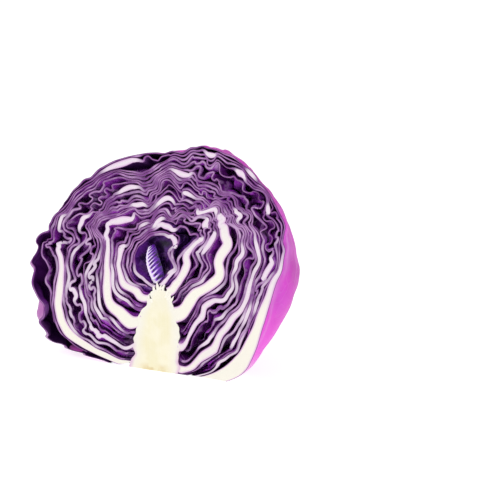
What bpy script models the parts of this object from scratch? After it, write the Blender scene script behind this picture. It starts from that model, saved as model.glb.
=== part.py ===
"""Half a red cabbage, cut from top to stem and standing on its trimmed base, with the cut face towards -Y.

The head is a set of nested shells round a heart. A shell is a number from 0, the heart, to 1, the outside.
A place on it is two angles: the bearing, which goes round the cut face from the top, and the spread, which is
0 at the middle of the back and 90 degrees on the cut face. Each leaf fills its own span of shells, so that
leaves never meet: its span is its share of the thicknesses of all the leaves that pass through that place.
"""

import bpy
import numpy as np

# The outermost shell, in metres, measured from the axis of the core and from the base
HALF_WIDTH_RIGHT = 0.083
HALF_WIDTH_LEFT = 0.079
DEPTH = 0.078
WIDEST_HEIGHT = 0.063
TOP_HEIGHT = 0.131
BOTTOM_HEIGHT_RIGHT = -0.015  # the shells run on below the base, which is cut through them
BOTTOM_HEIGHT_LEFT = 0.0012

# The innermost shell, round the heart
HEART_HALF_WIDTH = 0.0085
HEART_WIDEST_HEIGHT = 0.066
HEART_TOP_HEIGHT = 0.078
HEART_BOTTOM_HEIGHT = 0.0508

# The shells half way out are widest higher up than either of those, and have flatter tops
WIDEST_RISE = 0.0155
TOP_DROP = 0.0028

# Fullness of the shells: 2 is an ellipsoid, more has squarer shoulders and less is nearer a cone
PLAN_ROUNDNESS = 2.1
TOP_ROUNDNESS = 2.3
SHOULDER_ROUNDNESS = 0.5  # more for the shells half way out
SIDE_ROUNDNESS = 2.1  # just below the widest place
CONE_ROUNDNESS = 1.5  # near the core
OUTER_ROUNDNESS_RIGHT = 1.75
OUTER_ROUNDNESS_LEFT = 3.2

# The whole head leans: its right side is higher than its left
LEAN = 0.2
LEAN_HEIGHT = 0.06  # the lean grows from nothing at the base to the whole of it here

# The upper part of the head falls away behind the cut face
BACK_DROP = 0.32
BACK_DROP_LOW, BACK_DROP_HIGH = 0.02, 0.11  # the drop grows from nothing to the whole of it between these heights

# The core: the height of each of its sections and its radius there
CORE_HEIGHTS = (0.0, 0.012, 0.025, 0.036, 0.045, 0.0495, 0.0515)
CORE_RADII = (0.0155, 0.0142, 0.0128, 0.0098, 0.0066, 0.0042, 0.0016)
CORE_SIDES = 22
CORE_CLEARANCE = 0.0009  # from each leaf to the core that it grows from

# The heart bud, a small closed bud on the tip of the core
BUD_BASE_HEIGHT = 0.0535
BUD_TOP_HEIGHT = 0.0755
BUD_RADIUS = 0.0055
BUD_SIDES = 12
BUD_RINGS = 6

HALVINGS = 26
END_ROOM = 0.0001  # more room than a leaf's edge needs, where the cut face of a shell ends

# The grid that all the leaves share, so that their facets lie one over another
CUT_COLUMNS = 48  # along the cut face, from the core on the left to the core on the right
BASE_COLUMNS = 6  # from each end of those to the middle of the base
ROW_SPREADS = (90, 82, 70, 54, 34, 0)  # in degrees; the last is the single point at the middle of the back
ROW_SKIPS = (1, 1, 2, 4, 4, 4)  # a row has a point in each column, or in every second or fourth one
ROW_LEAST = 0.05  # the rows that an edge cuts off are pressed together along it, this part of a row apart

# The margins of the leaves, as the spread that they reach, in degrees
BACK_REACH = 78  # a leaf from the back, low down beside the core; higher up it reaches the cut face
SIDE_REACH = 71  # a leaf from one side, on the other side of the head
WRAPPER_REACH = 48
BACK_SLOPE = 0.018  # stations for each degree that a margin draws back from the cut face
SIDE_SLOPE = 0.0125
FADE_SPREAD = np.radians(12)  # past its margin, a leaf's share of the room runs out over this angle

# Waves that all the shells share: how many, how high and how quickly they change from shell to shell
WAVE_COUNT = 14
WAVE_HEIGHT = 0.021
WAVE_LEAST, WAVE_MOST = 5.0, 11.0
WAVE_DRIFT = 8.0
WAVE_SEED = 11
CORE_STATION = np.radians(150)  # for the waves and ribs, a station of 1 is this far round from the top

# The shares of room of a blade and of the gap under it, and how wide the ribs are
BLADE = 2.0
GAP = 0.72
WRAPPER_GAP = 1.7
LEAST_GAP = 0.02  # the part of its gap that a leaf keeps where it has ended
RIB_SPREAD = np.radians(24)
BACK_RIB_TAPER = 2.0  # a higher power leaves less of a rib near the tip of its leaf
SIDE_RIB_TAPER = 2.2

# The hollow under the outermost leaf on the left, low down
HOLLOW_UNDER = "wrapper_leaf_3"
HOLLOW = 13.0  # a share of room, as the gaps are
HOLLOW_STATION = -0.78
HOLLOW_LENGTH = 0.26
HOLLOW_SPREAD = np.radians(38)

# Each leaf from the heart outwards: its name, the side of the core that its rib grows from, and the shares of
# room of its blade and of its rib
LEAVES = (
    ("heart_leaf_1", "left", 1.6, 2.5),
    ("heart_leaf_2", "right", 1.6, 2.5),
    ("heart_leaf_3", "back", 1.6, 1.5),
    ("inner_leaf_01", "right", BLADE, 6.0),
    ("inner_leaf_02", "left", BLADE, 6.5),
    ("inner_leaf_03", "back", BLADE, 4.0),
    ("inner_leaf_04", "back", BLADE, 4.0),
    ("inner_leaf_05", "left", BLADE, 7.0),
    ("inner_leaf_06", "right", BLADE, 10.0),
    ("inner_leaf_07", "back", BLADE, 5.0),
    ("inner_leaf_08", "back", BLADE, 5.0),
    ("inner_leaf_09", "right", BLADE, 3.5),
    ("inner_leaf_10", "back", BLADE, 5.0),
    ("inner_leaf_11", "left", BLADE, 3.5),
    ("inner_leaf_12", "back", BLADE, 5.0),
    ("inner_leaf_13", "right", BLADE, 6.0),
    ("inner_leaf_14", "back", BLADE, 6.0),
    ("inner_leaf_15", "left", BLADE, 13.0),
    ("wrapper_leaf_1", "back", 2.2, 9.0),
    ("wrapper_leaf_2", "right", 2.0, 2.0),
    ("wrapper_leaf_3", "left", 2.2, 2.5),
    ("wrapper_leaf_4", "right", 2.4, 14.0),
)
WRAPPER_TIP = -0.30  # the outermost leaf ends at this station

LEAF_COLOUR = (0.16, 0.03, 0.18, 1)
WRAPPER_COLOUR = (0.30, 0.03, 0.27, 1)
HEART_COLOUR = (0.13, 0.05, 0.32, 1)
CORE_COLOUR = (0.86, 0.82, 0.60, 1)


def smooth_step(x, low, high):
    """0 below low, 1 above high, and smooth between them."""
    t = np.clip((x - low) / (high - low), 0, 1)
    return t * t * (3 - 2 * t)


def core_radius(height):
    return np.interp(height - CORE_CLEARANCE / 2, CORE_HEIGHTS, CORE_RADII, right=0)


def shell_place(shell, bearing, spread):
    """The point at these angles on these shells: across, back from the cut face and up from the base."""
    across = np.sin(spread) * np.sin(bearing)
    back = np.cos(spread)
    up = np.sin(spread) * np.cos(bearing)
    middling = 4 * shell * (1 - shell)
    to_left, outermost = smooth_step(-across, -0.2, 0.5), smooth_step(shell, 0.74, 1)
    outer_roundness = OUTER_ROUNDNESS_RIGHT + (OUTER_ROUNDNESS_LEFT - OUTER_ROUNDNESS_RIGHT) * to_left
    inner_roundness = SIDE_ROUNDNESS + (CONE_ROUNDNESS - SIDE_ROUNDNESS) * smooth_step(-up, 0, 0.8)
    roundness = np.where(
        up > 0,
        TOP_ROUNDNESS + SHOULDER_ROUNDNESS * middling,
        inner_roundness + (outer_roundness - inner_roundness) * outermost,
    )
    level = (abs(across) ** PLAN_ROUNDNESS + abs(back) ** PLAN_ROUNDNESS) ** (1 / PLAN_ROUNDNESS)
    reach = (level**roundness + abs(up) ** roundness) ** (-1 / roundness)
    outside_width = (HALF_WIDTH_RIGHT * (1 + across) + HALF_WIDTH_LEFT * (1 - across)) / 2
    width = HEART_HALF_WIDTH + (outside_width - HEART_HALF_WIDTH) * shell
    depth = HEART_HALF_WIDTH + (DEPTH - HEART_HALF_WIDTH) * shell
    widest = HEART_WIDEST_HEIGHT + (WIDEST_HEIGHT - HEART_WIDEST_HEIGHT) * shell + WIDEST_RISE * middling
    top = HEART_TOP_HEIGHT + (TOP_HEIGHT - HEART_TOP_HEIGHT) * shell - TOP_DROP * middling
    outside_bottom = BOTTOM_HEIGHT_RIGHT + (BOTTOM_HEIGHT_LEFT - BOTTOM_HEIGHT_RIGHT) * to_left * outermost
    bottom = HEART_BOTTOM_HEIGHT + (outside_bottom - HEART_BOTTOM_HEIGHT) * shell
    height = widest + np.where(up > 0, top - widest, widest - bottom) * up * reach
    x = width * across * reach
    y = depth * back * reach
    rise = LEAN * x * smooth_step(height, 0, LEAN_HEIGHT)
    drop = BACK_DROP * y * smooth_step(height, BACK_DROP_LOW, BACK_DROP_HIGH)
    return np.stack([x, y, height + rise - drop], axis=-1)


def is_free(point, room=0.0):
    """Whether a point is above the base and outside the core, with at least this room."""
    outside = np.hypot(point[..., 0], point[..., 1]) > core_radius(point[..., 2]) + CORE_CLEARANCE + room
    return outside & (point[..., 2] > room)


def last_free(point_at, free, taken, room=0.0):
    """The last value on the way from free to taken, found by halving, whose point is still free."""
    for _ in range(HALVINGS):
        middle = (free + taken) / 2
        good = is_free(point_at(middle), room)
        free, taken = np.where(good, middle, free), np.where(good, taken, middle)
    return free


# The stations of the columns, and the bearings at which the cut face of each shell ends
STATIONS = np.concatenate(
    [
        np.linspace(-1, 1, CUT_COLUMNS + 1),
        np.linspace(1, 2, BASE_COLUMNS + 1)[1:],
        np.linspace(-2, -1, BASE_COLUMNS + 1)[1:-1],
    ]
)
SHELLS = np.linspace(0, 1, 65)
RIGHT_END, LEFT_END = (
    last_free(
        lambda bearing: shell_place(SHELLS, bearing * hand, np.pi / 2),
        np.full_like(SHELLS, np.pi / 2),
        np.full_like(SHELLS, np.pi),
        room=END_ROOM,
    )
    for hand in (1, -1)
)


def bearing_of(station, shell):
    """The bearing of a station: 1 is where the cut face of the shell ends, and 2 is straight below the core."""
    end = np.where(station > 0, np.interp(shell, SHELLS, RIGHT_END), np.interp(shell, SHELLS, LEFT_END))
    along = abs(station)
    return np.sign(station) * np.where(along <= 1, along * end, end + (along - 1) * (np.pi - end))


def tip_of(index):
    """The station where the cut edge of a leaf ends, away from its rib; each leaf has its own."""
    name, side, *_ = LEAVES[index]
    if name == LEAVES[-1][0]:
        return WRAPPER_TIP
    if side == "back":
        return 0.74 + 0.10 * np.sin(2.4 * index)
    return -0.62 + 0.14 * np.sin(1.7 * index)


def margin_of(index, station):
    """How far forward a leaf reaches at each station, in radians: 90 degrees is the cut face."""
    (name, side, *_), tip = LEAVES[index], tip_of(index)
    if side == "back":
        low = tip + (90 - BACK_REACH) * BACK_SLOPE
        points = ((0, 90), (tip, 90), (low, BACK_REACH), (1.3, BACK_REACH), (2, 90))
        return np.radians(np.interp(abs(station), *zip(*points)))
    reach = WRAPPER_REACH if name.startswith("wrapper") else SIDE_REACH
    along = station if side == "right" else -station
    low = tip - (90 - reach) * SIDE_SLOPE
    points = ((-2, reach + 8), (-1.4, reach + 4), (low, reach), (tip, 90), (2, 90))
    return np.radians(np.interp(along, *zip(*points)))


def rib_share(side, station, spread):
    """1 on the middle of the rib at its base, falling along the rib to the tip, and to each side of it."""
    if side == "back":
        reference = station * CORE_STATION
        off_middle = np.arcsin(np.clip(np.sin(spread) * np.sin(reference), -1, 1))
        rise = 0.5 - 0.5 * np.sin(spread) * np.cos(reference)
        return np.exp(-((off_middle / RIB_SPREAD) ** 2)) * rise**BACK_RIB_TAPER
    along = station if side == "right" else -station
    progress = np.clip((np.minimum(along, 1) + 0.6) / 1.6, 0, 1) * smooth_step(2 - along, 0, 0.8)
    return np.exp(-(((np.pi / 2 - spread) / RIB_SPREAD) ** 2)) * progress**SIDE_RIB_TAPER


def spans(station, spread):
    """The first and last shell of every leaf at these places: two arrays, one row for each leaf."""
    blades, gaps = [], []
    for index, (name, side, blade, rib) in enumerate(LEAVES):
        there = smooth_step(margin_of(index, station) + FADE_SPREAD - spread, 0, FADE_SPREAD)
        blades.append((blade + rib * rib_share(side, station, spread)) * there)
        gap = WRAPPER_GAP if name.startswith("wrapper") else GAP
        if name == HOLLOW_UNDER:
            along, behind = (station - HOLLOW_STATION) / HOLLOW_LENGTH, (np.pi / 2 - spread) / HOLLOW_SPREAD
            gap = gap + HOLLOW * np.exp(-(along**2) - behind**2)
        gaps.append(gap * np.maximum(there, LEAST_GAP))
    blades, gaps = np.array(blades), np.array(gaps)
    ends = np.cumsum(blades + gaps, axis=0)
    total = ends[-1]
    return (ends - blades) / total, ends / total


def wave_numbers():
    """The direction, phase and weight of each of the waves that crease the shells."""
    draw = np.random.default_rng(WAVE_SEED)
    heading = draw.normal(size=(WAVE_COUNT, 3))
    heading /= np.linalg.norm(heading, axis=1)[:, None]
    number = draw.uniform(WAVE_LEAST, WAVE_MOST, WAVE_COUNT)
    return heading * number[:, None], draw.uniform(0, 2 * np.pi, WAVE_COUNT), draw.uniform(-1, 1, WAVE_COUNT)


WAVES = wave_numbers()


def creased(shell, station, spread):
    """The shell that a place moves to: a sum of waves over direction, still where leaves join the core."""
    reference, out = station * CORE_STATION, np.sin(spread)
    direction = np.stack([out * np.sin(reference), np.cos(spread), out * np.cos(reference)], axis=-1)
    numbers, phases, drifts = WAVES
    angle = direction @ numbers.T + phases + WAVE_DRIFT * drifts * shell[..., None]
    wave = np.sin(angle).sum(axis=-1) / np.sqrt(WAVE_COUNT / 2)
    still = smooth_step(direction[..., 2], -0.86, -0.55)
    height = WAVE_HEIGHT * still * smooth_step(shell, 0, 0.25)
    return shell + height * wave


def leaf_place(index, face, station, spread):
    """A point of one face of a leaf: face 0 is its inner one and 1 its outer one."""
    shell = creased(spans(station, spread)[face][index], station, spread)
    return shell_place(shell, bearing_of(station, shell), spread)


def face_grid(index, face):
    """A whole face on the shared grid. Where a row leaves a column out, its point is on the line between others."""
    rows = []
    for spread, skip in zip(ROW_SPREADS, ROW_SKIPS):
        kept = leaf_place(index, face, STATIONS[::skip], np.full_like(STATIONS[::skip], np.radians(spread)))
        share = np.arange(skip)[None, :, None] / skip
        filled = kept[:, None] * (1 - share) + np.roll(kept, -1, axis=0)[:, None] * share
        rows.append(filled.reshape(-1, 3))
    return np.array(rows)


def on_grid(grid, row):
    """The points of a face at these places between its rows, one for each column: 0 is the first row."""
    row = np.clip(row, 0, len(grid) - 1)
    first = np.minimum(row.astype(int), len(grid) - 2)
    share = (row - first)[:, None]
    columns = np.arange(len(row))
    return grid[first, columns] * (1 - share) + grid[first + 1, columns] * share


def leaf_faces(index):
    """Both faces of a leaf: rows of points, from its edge to the middle of the back, and the middle itself."""
    row_numbers = np.arange(len(ROW_SPREADS))
    margin = np.interp(-np.degrees(margin_of(index, STATIONS)), -np.array(ROW_SPREADS), row_numbers)
    deepest, outside = np.full_like(STATIONS, len(ROW_SPREADS) - 2), np.full_like(STATIONS, -0.5)
    faces = []
    for face in (0, 1):
        grid = face_grid(index, face)
        edge = np.maximum(last_free(lambda row: on_grid(grid, row), deepest, outside), margin)
        points = [
            on_grid(grid, np.maximum(number, edge + number * ROW_LEAST))[::skip]
            for number, skip in zip(row_numbers[:-1], ROW_SKIPS)
        ]
        for row in points:
            row[:, 2] = np.maximum(row[:, 2], 0)
        faces.append((points, grid[-1][0]))
    return faces


def strip(first, second):
    """Triangles between two closed rows of vertex numbers, the second with as many points or half as many."""
    count, ratio = len(first), len(first) // len(second)
    made = []
    for i in range(0, count, ratio):
        here, further = second[i // ratio], second[(i // ratio + 1) % len(second)]
        corners = [first[(i + k) % count] for k in range(ratio + 1)]
        if ratio == 1:
            made += [(corners[0], corners[1], further), (corners[0], further, here)]
        else:
            made += [(corners[0], corners[1], here), (corners[1], corners[2], further)]
            made.append((corners[1], further, here))
    return made


def leaf_mesh(index):
    """Vertices and triangles of a leaf: two faces, the inner one turned round, and the edge between them."""
    vertices, triangles, edges = [], [], []
    for face, (rows, middle) in enumerate(leaf_faces(index)):
        numbered = []
        for row in rows:
            numbered.append(list(range(len(vertices), len(vertices) + len(row))))
            vertices.extend(row)
        made = [t for first, second in zip(numbered, numbered[1:]) for t in strip(first, second)]
        last = numbered[-1]
        made += [(last[i], last[(i + 1) % len(last)], len(vertices)) for i in range(len(last))]
        vertices.append(middle)
        triangles += [t[::-1] for t in made] if face == 0 else made
        edges.append(numbered[0])
    triangles += strip(edges[0], edges[1])
    return vertices, triangles


def half_turned(radii, heights, sides):
    """Half a turned solid, cut flat through its axis: joined rings, closed in front and at both ends."""
    turn = np.linspace(0, np.pi, sides + 1)
    vertices = [(r * np.cos(t), r * np.sin(t), h) for r, h in zip(radii, heights) for t in turn]
    width = sides + 1
    quads = [
        (k * width + i, k * width + i + 1, (k + 1) * width + i + 1, (k + 1) * width + i)
        for k in range(len(heights) - 1)
        for i in range(sides)
    ]
    starts = range(0, (len(heights) - 1) * width, width)
    front = [(start, start + width, start + width + sides, start + sides) for start in starts]
    below = [tuple(range(sides, -1, -1))]
    above = [tuple(range((len(heights) - 1) * width, len(heights) * width))]
    return vertices, quads + front + below + above


def bud_profile():
    """Radii and heights of the heart bud, an egg whose small end is up."""
    share = np.linspace(0.06, 0.94, BUD_RINGS)
    radii = BUD_RADIUS * np.sin(np.pi * share**0.8)
    return radii, BUD_BASE_HEIGHT + (BUD_TOP_HEIGHT - BUD_BASE_HEIGHT) * share


def make_material(name, colour, roughness):
    material = bpy.data.materials.new(name)
    material.use_nodes = True
    shader = material.node_tree.nodes["Principled BSDF"]
    shader.inputs["Base Color"].default_value = colour
    shader.inputs["Roughness"].default_value = roughness
    shader.inputs["Metallic"].default_value = 0.0
    return material


def add_object(name, vertices, faces, material):
    mesh = bpy.data.meshes.new(name)
    mesh.from_pydata([tuple(map(float, v)) for v in vertices], [], faces)
    mesh.validate()
    mesh.materials.append(material)
    mesh.shade_smooth()
    mesh.set_sharp_from_angle(angle=np.radians(50))
    obj = bpy.data.objects.new(name, mesh)
    bpy.context.scene.collection.objects.link(obj)
    return obj


def centre_on_origin(objects):
    """Moves every mesh so that the whole object's box is centred over the origin and stands on it."""
    points = np.array([vertex.co[:] for obj in objects for vertex in obj.data.vertices])
    low, high = points.min(axis=0), points.max(axis=0)
    shift = -np.array([(low[0] + high[0]) / 2, (low[1] + high[1]) / 2, low[2]])
    for obj in objects:
        for vertex in obj.data.vertices:
            vertex.co = vertex.co[:] + shift


def main():
    for obj in list(bpy.data.objects):
        bpy.data.objects.remove(obj)
    leaf_material = make_material("leaf", LEAF_COLOUR, 0.45)
    wrapper_material = make_material("wrapper", WRAPPER_COLOUR, 0.4)
    heart_material = make_material("heart", HEART_COLOUR, 0.45)
    core_material = make_material("core", CORE_COLOUR, 0.55)
    objects = [add_object("core", *half_turned(CORE_RADII, CORE_HEIGHTS, CORE_SIDES), core_material)]
    objects.append(add_object("heart_bud", *half_turned(*bud_profile(), BUD_SIDES), heart_material))
    for index, (name, *_) in enumerate(LEAVES):
        material = leaf_material
        if name.startswith("heart"):
            material = heart_material
        elif name.startswith("wrapper"):
            material = wrapper_material
        objects.append(add_object(name, *leaf_mesh(index), material))
    centre_on_origin(objects)


main()
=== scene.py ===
# %% [markdown]
# # Half a red cabbage
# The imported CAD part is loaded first. It gives the true place of every leaf, but its leaves are coarse solids. Two
# ways lead from there to a head that looks real: to subdivide and sculpt the solids, or to work out new surfaces on
# the same nested shells. The second is taken here, because a formula keeps a thousand small folds apart that a
# brush would push through each other. So each solid is replaced below by a fine closed surface, with the folds,
# pockets and veins that a real head shows where a knife has gone through it.

import bpy
import numpy as np
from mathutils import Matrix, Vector


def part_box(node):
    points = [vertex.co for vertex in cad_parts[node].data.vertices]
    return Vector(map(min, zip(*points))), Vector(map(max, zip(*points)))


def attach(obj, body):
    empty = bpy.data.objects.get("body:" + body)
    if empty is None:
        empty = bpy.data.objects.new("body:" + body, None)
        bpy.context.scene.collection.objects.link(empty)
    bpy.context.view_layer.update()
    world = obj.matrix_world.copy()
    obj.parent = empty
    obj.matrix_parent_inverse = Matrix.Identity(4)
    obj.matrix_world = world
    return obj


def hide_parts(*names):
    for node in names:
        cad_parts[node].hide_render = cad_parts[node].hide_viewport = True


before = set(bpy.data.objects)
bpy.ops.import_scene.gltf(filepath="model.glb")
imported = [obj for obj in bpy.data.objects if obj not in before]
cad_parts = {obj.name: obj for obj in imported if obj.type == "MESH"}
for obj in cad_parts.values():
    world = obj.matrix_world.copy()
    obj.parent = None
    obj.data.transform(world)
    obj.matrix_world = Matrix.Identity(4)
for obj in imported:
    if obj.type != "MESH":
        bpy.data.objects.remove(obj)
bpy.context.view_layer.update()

# %% [markdown]
# ## The shells of the head
# A cabbage grows as one leaf inside another, so the head is described as nested shells round a heart. A shell is a
# number from 0 to 1. A place on it is a bearing, which goes round the cut face from the top, and a spread, which is
# 90 degrees on the cut face and 0 at the middle of the back. The leaves could be sculpted one by one instead, but
# then each would have to be kept clear of its neighbours by hand. The formulas are those of the CAD source, with
# small corrections that bring the outline closer to the real head, so every fine leaf lies along its solid.

# %% The outline of each shell, in metres from the axis of the core and from the base
HALF_WIDTH_RIGHT, HALF_WIDTH_LEFT, DEPTH = 0.083, 0.079, 0.078
WIDEST_HEIGHT, TOP_HEIGHT = 0.063, 0.131
BOTTOM_HEIGHT_RIGHT, BOTTOM_HEIGHT_LEFT = -0.015, 0.0012
HEART_HALF_WIDTH, HEART_WIDEST_HEIGHT, HEART_TOP_HEIGHT, HEART_BOTTOM_HEIGHT = 0.0100, 0.066, 0.078, 0.0508
WIDEST_RISE, TOP_DROP = 0.0155, 0.0028
PLAN_ROUNDNESS, TOP_ROUNDNESS, SHOULDER_ROUNDNESS = 2.1, 2.3, 0.5
SIDE_ROUNDNESS, CONE_ROUNDNESS, OUTER_ROUNDNESS_RIGHT, OUTER_ROUNDNESS_LEFT = 2.1, 1.5, 1.75, 3.2
LEAN, LEAN_HEIGHT = 0.2, 0.06
BACK_DROP, BACK_DROP_LOW, BACK_DROP_HIGH = 0.32, 0.02, 0.11
# Small corrections to the outline, also in metres
LEFT_DROP, RIGHT_DROP = 0.0050, 0.0074  # how far the two shoulders sink
WIDER_LEFT = 0.0975  # the left half is stretched by this part of its width, and the right half pressed by it
HEART_TO_LEFT = 0.0080  # how far the heart bows to the left
FULLER_RIGHT, FLATTER_BACK = 0.0049, 0.0091  # the right side behind the cut: fuller in the middle, flatter above
SHOULDER_IN, CUT_OUT = 0.0011, 0.0031  # the right side of the cut: its shoulder pressed, its middle swollen
LOW_RIGHT, LOW_LEFT, BEHIND_LEFT = 0.0135, 0.0130, 0.0035  # how far the foot swells on both sides, and behind
TILT, ASIDE = 0.0944, 0.0015  # the whole head leans this much to the right as it rises, and is moved by this
CORE_HEIGHTS = (0.0, 0.012, 0.025, 0.036, 0.045, 0.0495, 0.0515)
CORE_RADII = (0.0155, 0.0142, 0.0128, 0.0098, 0.0066, 0.0042, 0.0016)

core_low, core_high = (np.array(corner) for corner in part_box("core"))
AXIS_X, CUT_Y = (core_low[0] + core_high[0]) / 2, core_low[1]
print("in mm: the core's axis is at x =", round(AXIS_X * 1000, 2), "and the cut face at y =", round(CUT_Y * 1000, 2))

# %% Smooth steps and bells, which every correction is made of, and the core's radius
def smooth_step(x, low, high):
    """0 below low, 1 above high, and smooth between them."""
    t = np.clip((x - low) / (high - low), 0, 1)
    return t * t * (3 - 2 * t)


def bell(x, middle, width):
    """1 in the middle, and less to both sides."""
    return np.exp(-(((x - middle) / width) ** 2))


def core_radius(height):
    """The core's radius at a height: straight lines between the given heights, and nothing above the tip."""
    return np.interp(height, CORE_HEIGHTS, CORE_RADII, right=0)


print("halfway up, the core is", round(2000 * core_radius(CORE_HEIGHTS[-1] / 2), 1), "mm thick")

# %% A point on a shell
def corrected(x, y, height, outermost):
    """The head rises with the distance to the right and drops with the distance behind the cut. Then bells and
    steps over the width, the height and the depth move each part of the outline by its own small length."""
    rise = LEAN * x * smooth_step(height, 0, LEAN_HEIGHT)
    drop = BACK_DROP * y * smooth_step(height, BACK_DROP_LOW, BACK_DROP_HIGH)
    drop = drop + LEFT_DROP * smooth_step(-x, 0.02, 0.07) * smooth_step(height, 0.075, 0.115)
    x, z = x * (1 - WIDER_LEFT * np.sign(x) * smooth_step(abs(x), 0, 0.04)), height + rise - drop
    z = z - RIGHT_DROP * smooth_step(x, 0.015, 0.06) * smooth_step(z, 0.085, 0.115)
    on_right, on_left, behind = smooth_step(x, 0.03, 0.07), smooth_step(-x, 0.03, 0.07), smooth_step(y, 0, 0.02)
    x = x + on_right * behind * (FULLER_RIGHT * bell(z, 0.0559, 0.026) - FLATTER_BACK * smooth_step(z, 0.05, 0.09))
    x = x + on_right * (CUT_OUT * (1 - behind) * bell(z, 0.070, 0.03) - SHOULDER_IN * bell(z, 0.085, 0.03))
    x = x + LOW_RIGHT * smooth_step(x, 0.02, 0.05) * bell(z, 0, 0.022)
    x = x - LOW_LEFT * outermost * smooth_step(-x, 0.02, 0.05) * bell(z, 0.004, 0.018)
    x = x - BEHIND_LEFT * on_left * smooth_step(y, 0, 0.009) * bell(z, 0.030, 0.045)
    x = x - HEART_TO_LEFT * bell(x, -0.012, 0.026) * bell(z, 0.067, 0.021) * bell(y, 0, 0.04)
    return np.stack([x, y, z], axis=-1)


def shell_place(shell, bearing, spread):
    """Width, depth and height of a shell times the point of a rounded box in this direction, then corrected."""
    across, back, up = np.sin(spread) * np.sin(bearing), np.cos(spread), np.sin(spread) * np.cos(bearing)
    middling = 4 * shell * (1 - shell)
    to_left, outermost = smooth_step(-across, -0.2, 0.5), smooth_step(shell, 0.74, 1)
    outer = OUTER_ROUNDNESS_RIGHT + (OUTER_ROUNDNESS_LEFT - OUTER_ROUNDNESS_RIGHT) * to_left
    inner = SIDE_ROUNDNESS + (CONE_ROUNDNESS - SIDE_ROUNDNESS) * smooth_step(-up, 0, 0.8)
    top_roundness = TOP_ROUNDNESS + SHOULDER_ROUNDNESS * middling
    roundness = np.where(up > 0, top_roundness, inner + (outer - inner) * outermost)
    level = (abs(across) ** PLAN_ROUNDNESS + abs(back) ** PLAN_ROUNDNESS) ** (1 / PLAN_ROUNDNESS)
    reach = (level**roundness + abs(up) ** roundness) ** (-1 / roundness)
    outside_width = (HALF_WIDTH_RIGHT * (1 + across) + HALF_WIDTH_LEFT * (1 - across)) / 2
    width = HEART_HALF_WIDTH + (outside_width - HEART_HALF_WIDTH) * shell
    depth = HEART_HALF_WIDTH + (DEPTH - HEART_HALF_WIDTH) * shell
    widest = HEART_WIDEST_HEIGHT + (WIDEST_HEIGHT - HEART_WIDEST_HEIGHT) * shell + WIDEST_RISE * middling
    top = HEART_TOP_HEIGHT + (TOP_HEIGHT - HEART_TOP_HEIGHT) * shell - TOP_DROP * middling
    outside_bottom = BOTTOM_HEIGHT_RIGHT + (BOTTOM_HEIGHT_LEFT - BOTTOM_HEIGHT_RIGHT) * to_left * outermost
    bottom = HEART_BOTTOM_HEIGHT + (outside_bottom - HEART_BOTTOM_HEIGHT) * shell
    height = widest + np.where(up > 0, top - widest, widest - bottom) * up * reach
    return corrected(width * across * reach, depth * back * reach, height, outermost)


print("top of the outermost shell, in mm:", np.round(shell_place(1.0, 0.0, np.pi / 2) * 1000, 1).tolist())

# %% Where the cut face of each shell ends: just inside the core, or at the base
ROOTED = 0.0005  # the ribs run this far into the core, so that no seam shows
HALVINGS = 18


def is_free(point):
    """Whether a point is above the base and outside the core, which it may enter by a little."""
    return (np.hypot(point[..., 0], point[..., 1]) > core_radius(point[..., 2]) - ROOTED) & (point[..., 2] > 0)


def last_free(point_at, free, taken):
    """The last value on the way from free to taken whose point is still free, found by halving."""
    for _ in range(HALVINGS):
        middle = (free + taken) / 2
        good = is_free(point_at(middle))
        free, taken = np.where(good, middle, free), np.where(good, taken, middle)
    return free


SHELLS = np.linspace(0, 1, 65)
RIGHT_END, LEFT_END = (
    last_free(
        lambda bearing: shell_place(SHELLS, bearing * hand, np.pi / 2),
        np.full_like(SHELLS, np.pi / 2),
        np.full_like(SHELLS, np.pi),
    )
    for hand in (1, -1)
)


def bearing_of(station, shell):
    """Station times the bearing where the shell's cut face ends; from 1 to 2 it goes on to straight below."""
    end = np.where(station > 0, np.interp(shell, SHELLS, RIGHT_END), np.interp(shell, SHELLS, LEFT_END))
    along = abs(station)
    return np.sign(station) * np.where(along <= 1, along * end, end + (along - 1) * (np.pi - end))


print("outermost cut edge ends at", np.round(np.degrees([LEFT_END[-1], RIGHT_END[-1]]), 1), "degrees from the top")

# %% [markdown]
# ## The leaves and the room that each one has
# The cut through a real head is far from even: leaves lie tight in one place and leave pockets in another, and a
# thick rib pushes its neighbours aside. Leaves that were placed one by one would cut deep into each other. So every
# leaf gets a slot of its own between the shells, as wide as its share of the room: its blade, its rib, its veins and
# the air under it. The shares add up to the whole, so the slots never overlap, however the air is shared out. The
# leaves in them don't quite keep apart: where a fold is tight or a rib is thick, a face still runs into a neighbour,
# mostly by less than half a millimetre. A slow random ripple, drawn once for each leaf, shares out the air, and the
# largest pockets and veins are put where the real head has them.

# %% The leaves, from the heart outwards: node, side of the rib, how thick it is there in mm, how fast it tapers
LEAVES = (
    ("heart_leaf_1", "left", 1.3, 1.0), ("heart_leaf_2", "right", 1.8, 1.0), ("heart_leaf_3", "back", 1.5, 2.0),
    ("inner_leaf_01", "right", 5.0, 0.6), ("inner_leaf_02", "left", 4.5, 0.6), ("inner_leaf_03", "back", 4.0, 2.0),
    ("inner_leaf_04", "back", 4.0, 2.0), ("inner_leaf_05", "left", 6.0, 0.6), ("inner_leaf_06", "right", 8.0, 0.7),
    ("inner_leaf_07", "back", 5.0, 2.0), ("inner_leaf_08", "back", 5.0, 2.0), ("inner_leaf_09", "right", 2.4, 0.6),
    ("inner_leaf_10", "back", 5.0, 2.0), ("inner_leaf_11", "left", 1.6, 1.0), ("inner_leaf_12", "back", 5.0, 2.0),
    ("inner_leaf_13", "right", 4.6, 1.1), ("inner_leaf_14", "back", 6.0, 2.0), ("inner_leaf_15", "left", 9.2, 0.85),
    ("wrapper_leaf_1", "back", 9.0, 2.0), ("wrapper_leaf_2", "right", 1.0, 1.0),
    ("wrapper_leaf_3", "left", 0.4, 1.0), ("wrapper_leaf_4", "right", 18.5, 2.6),
)
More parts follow.
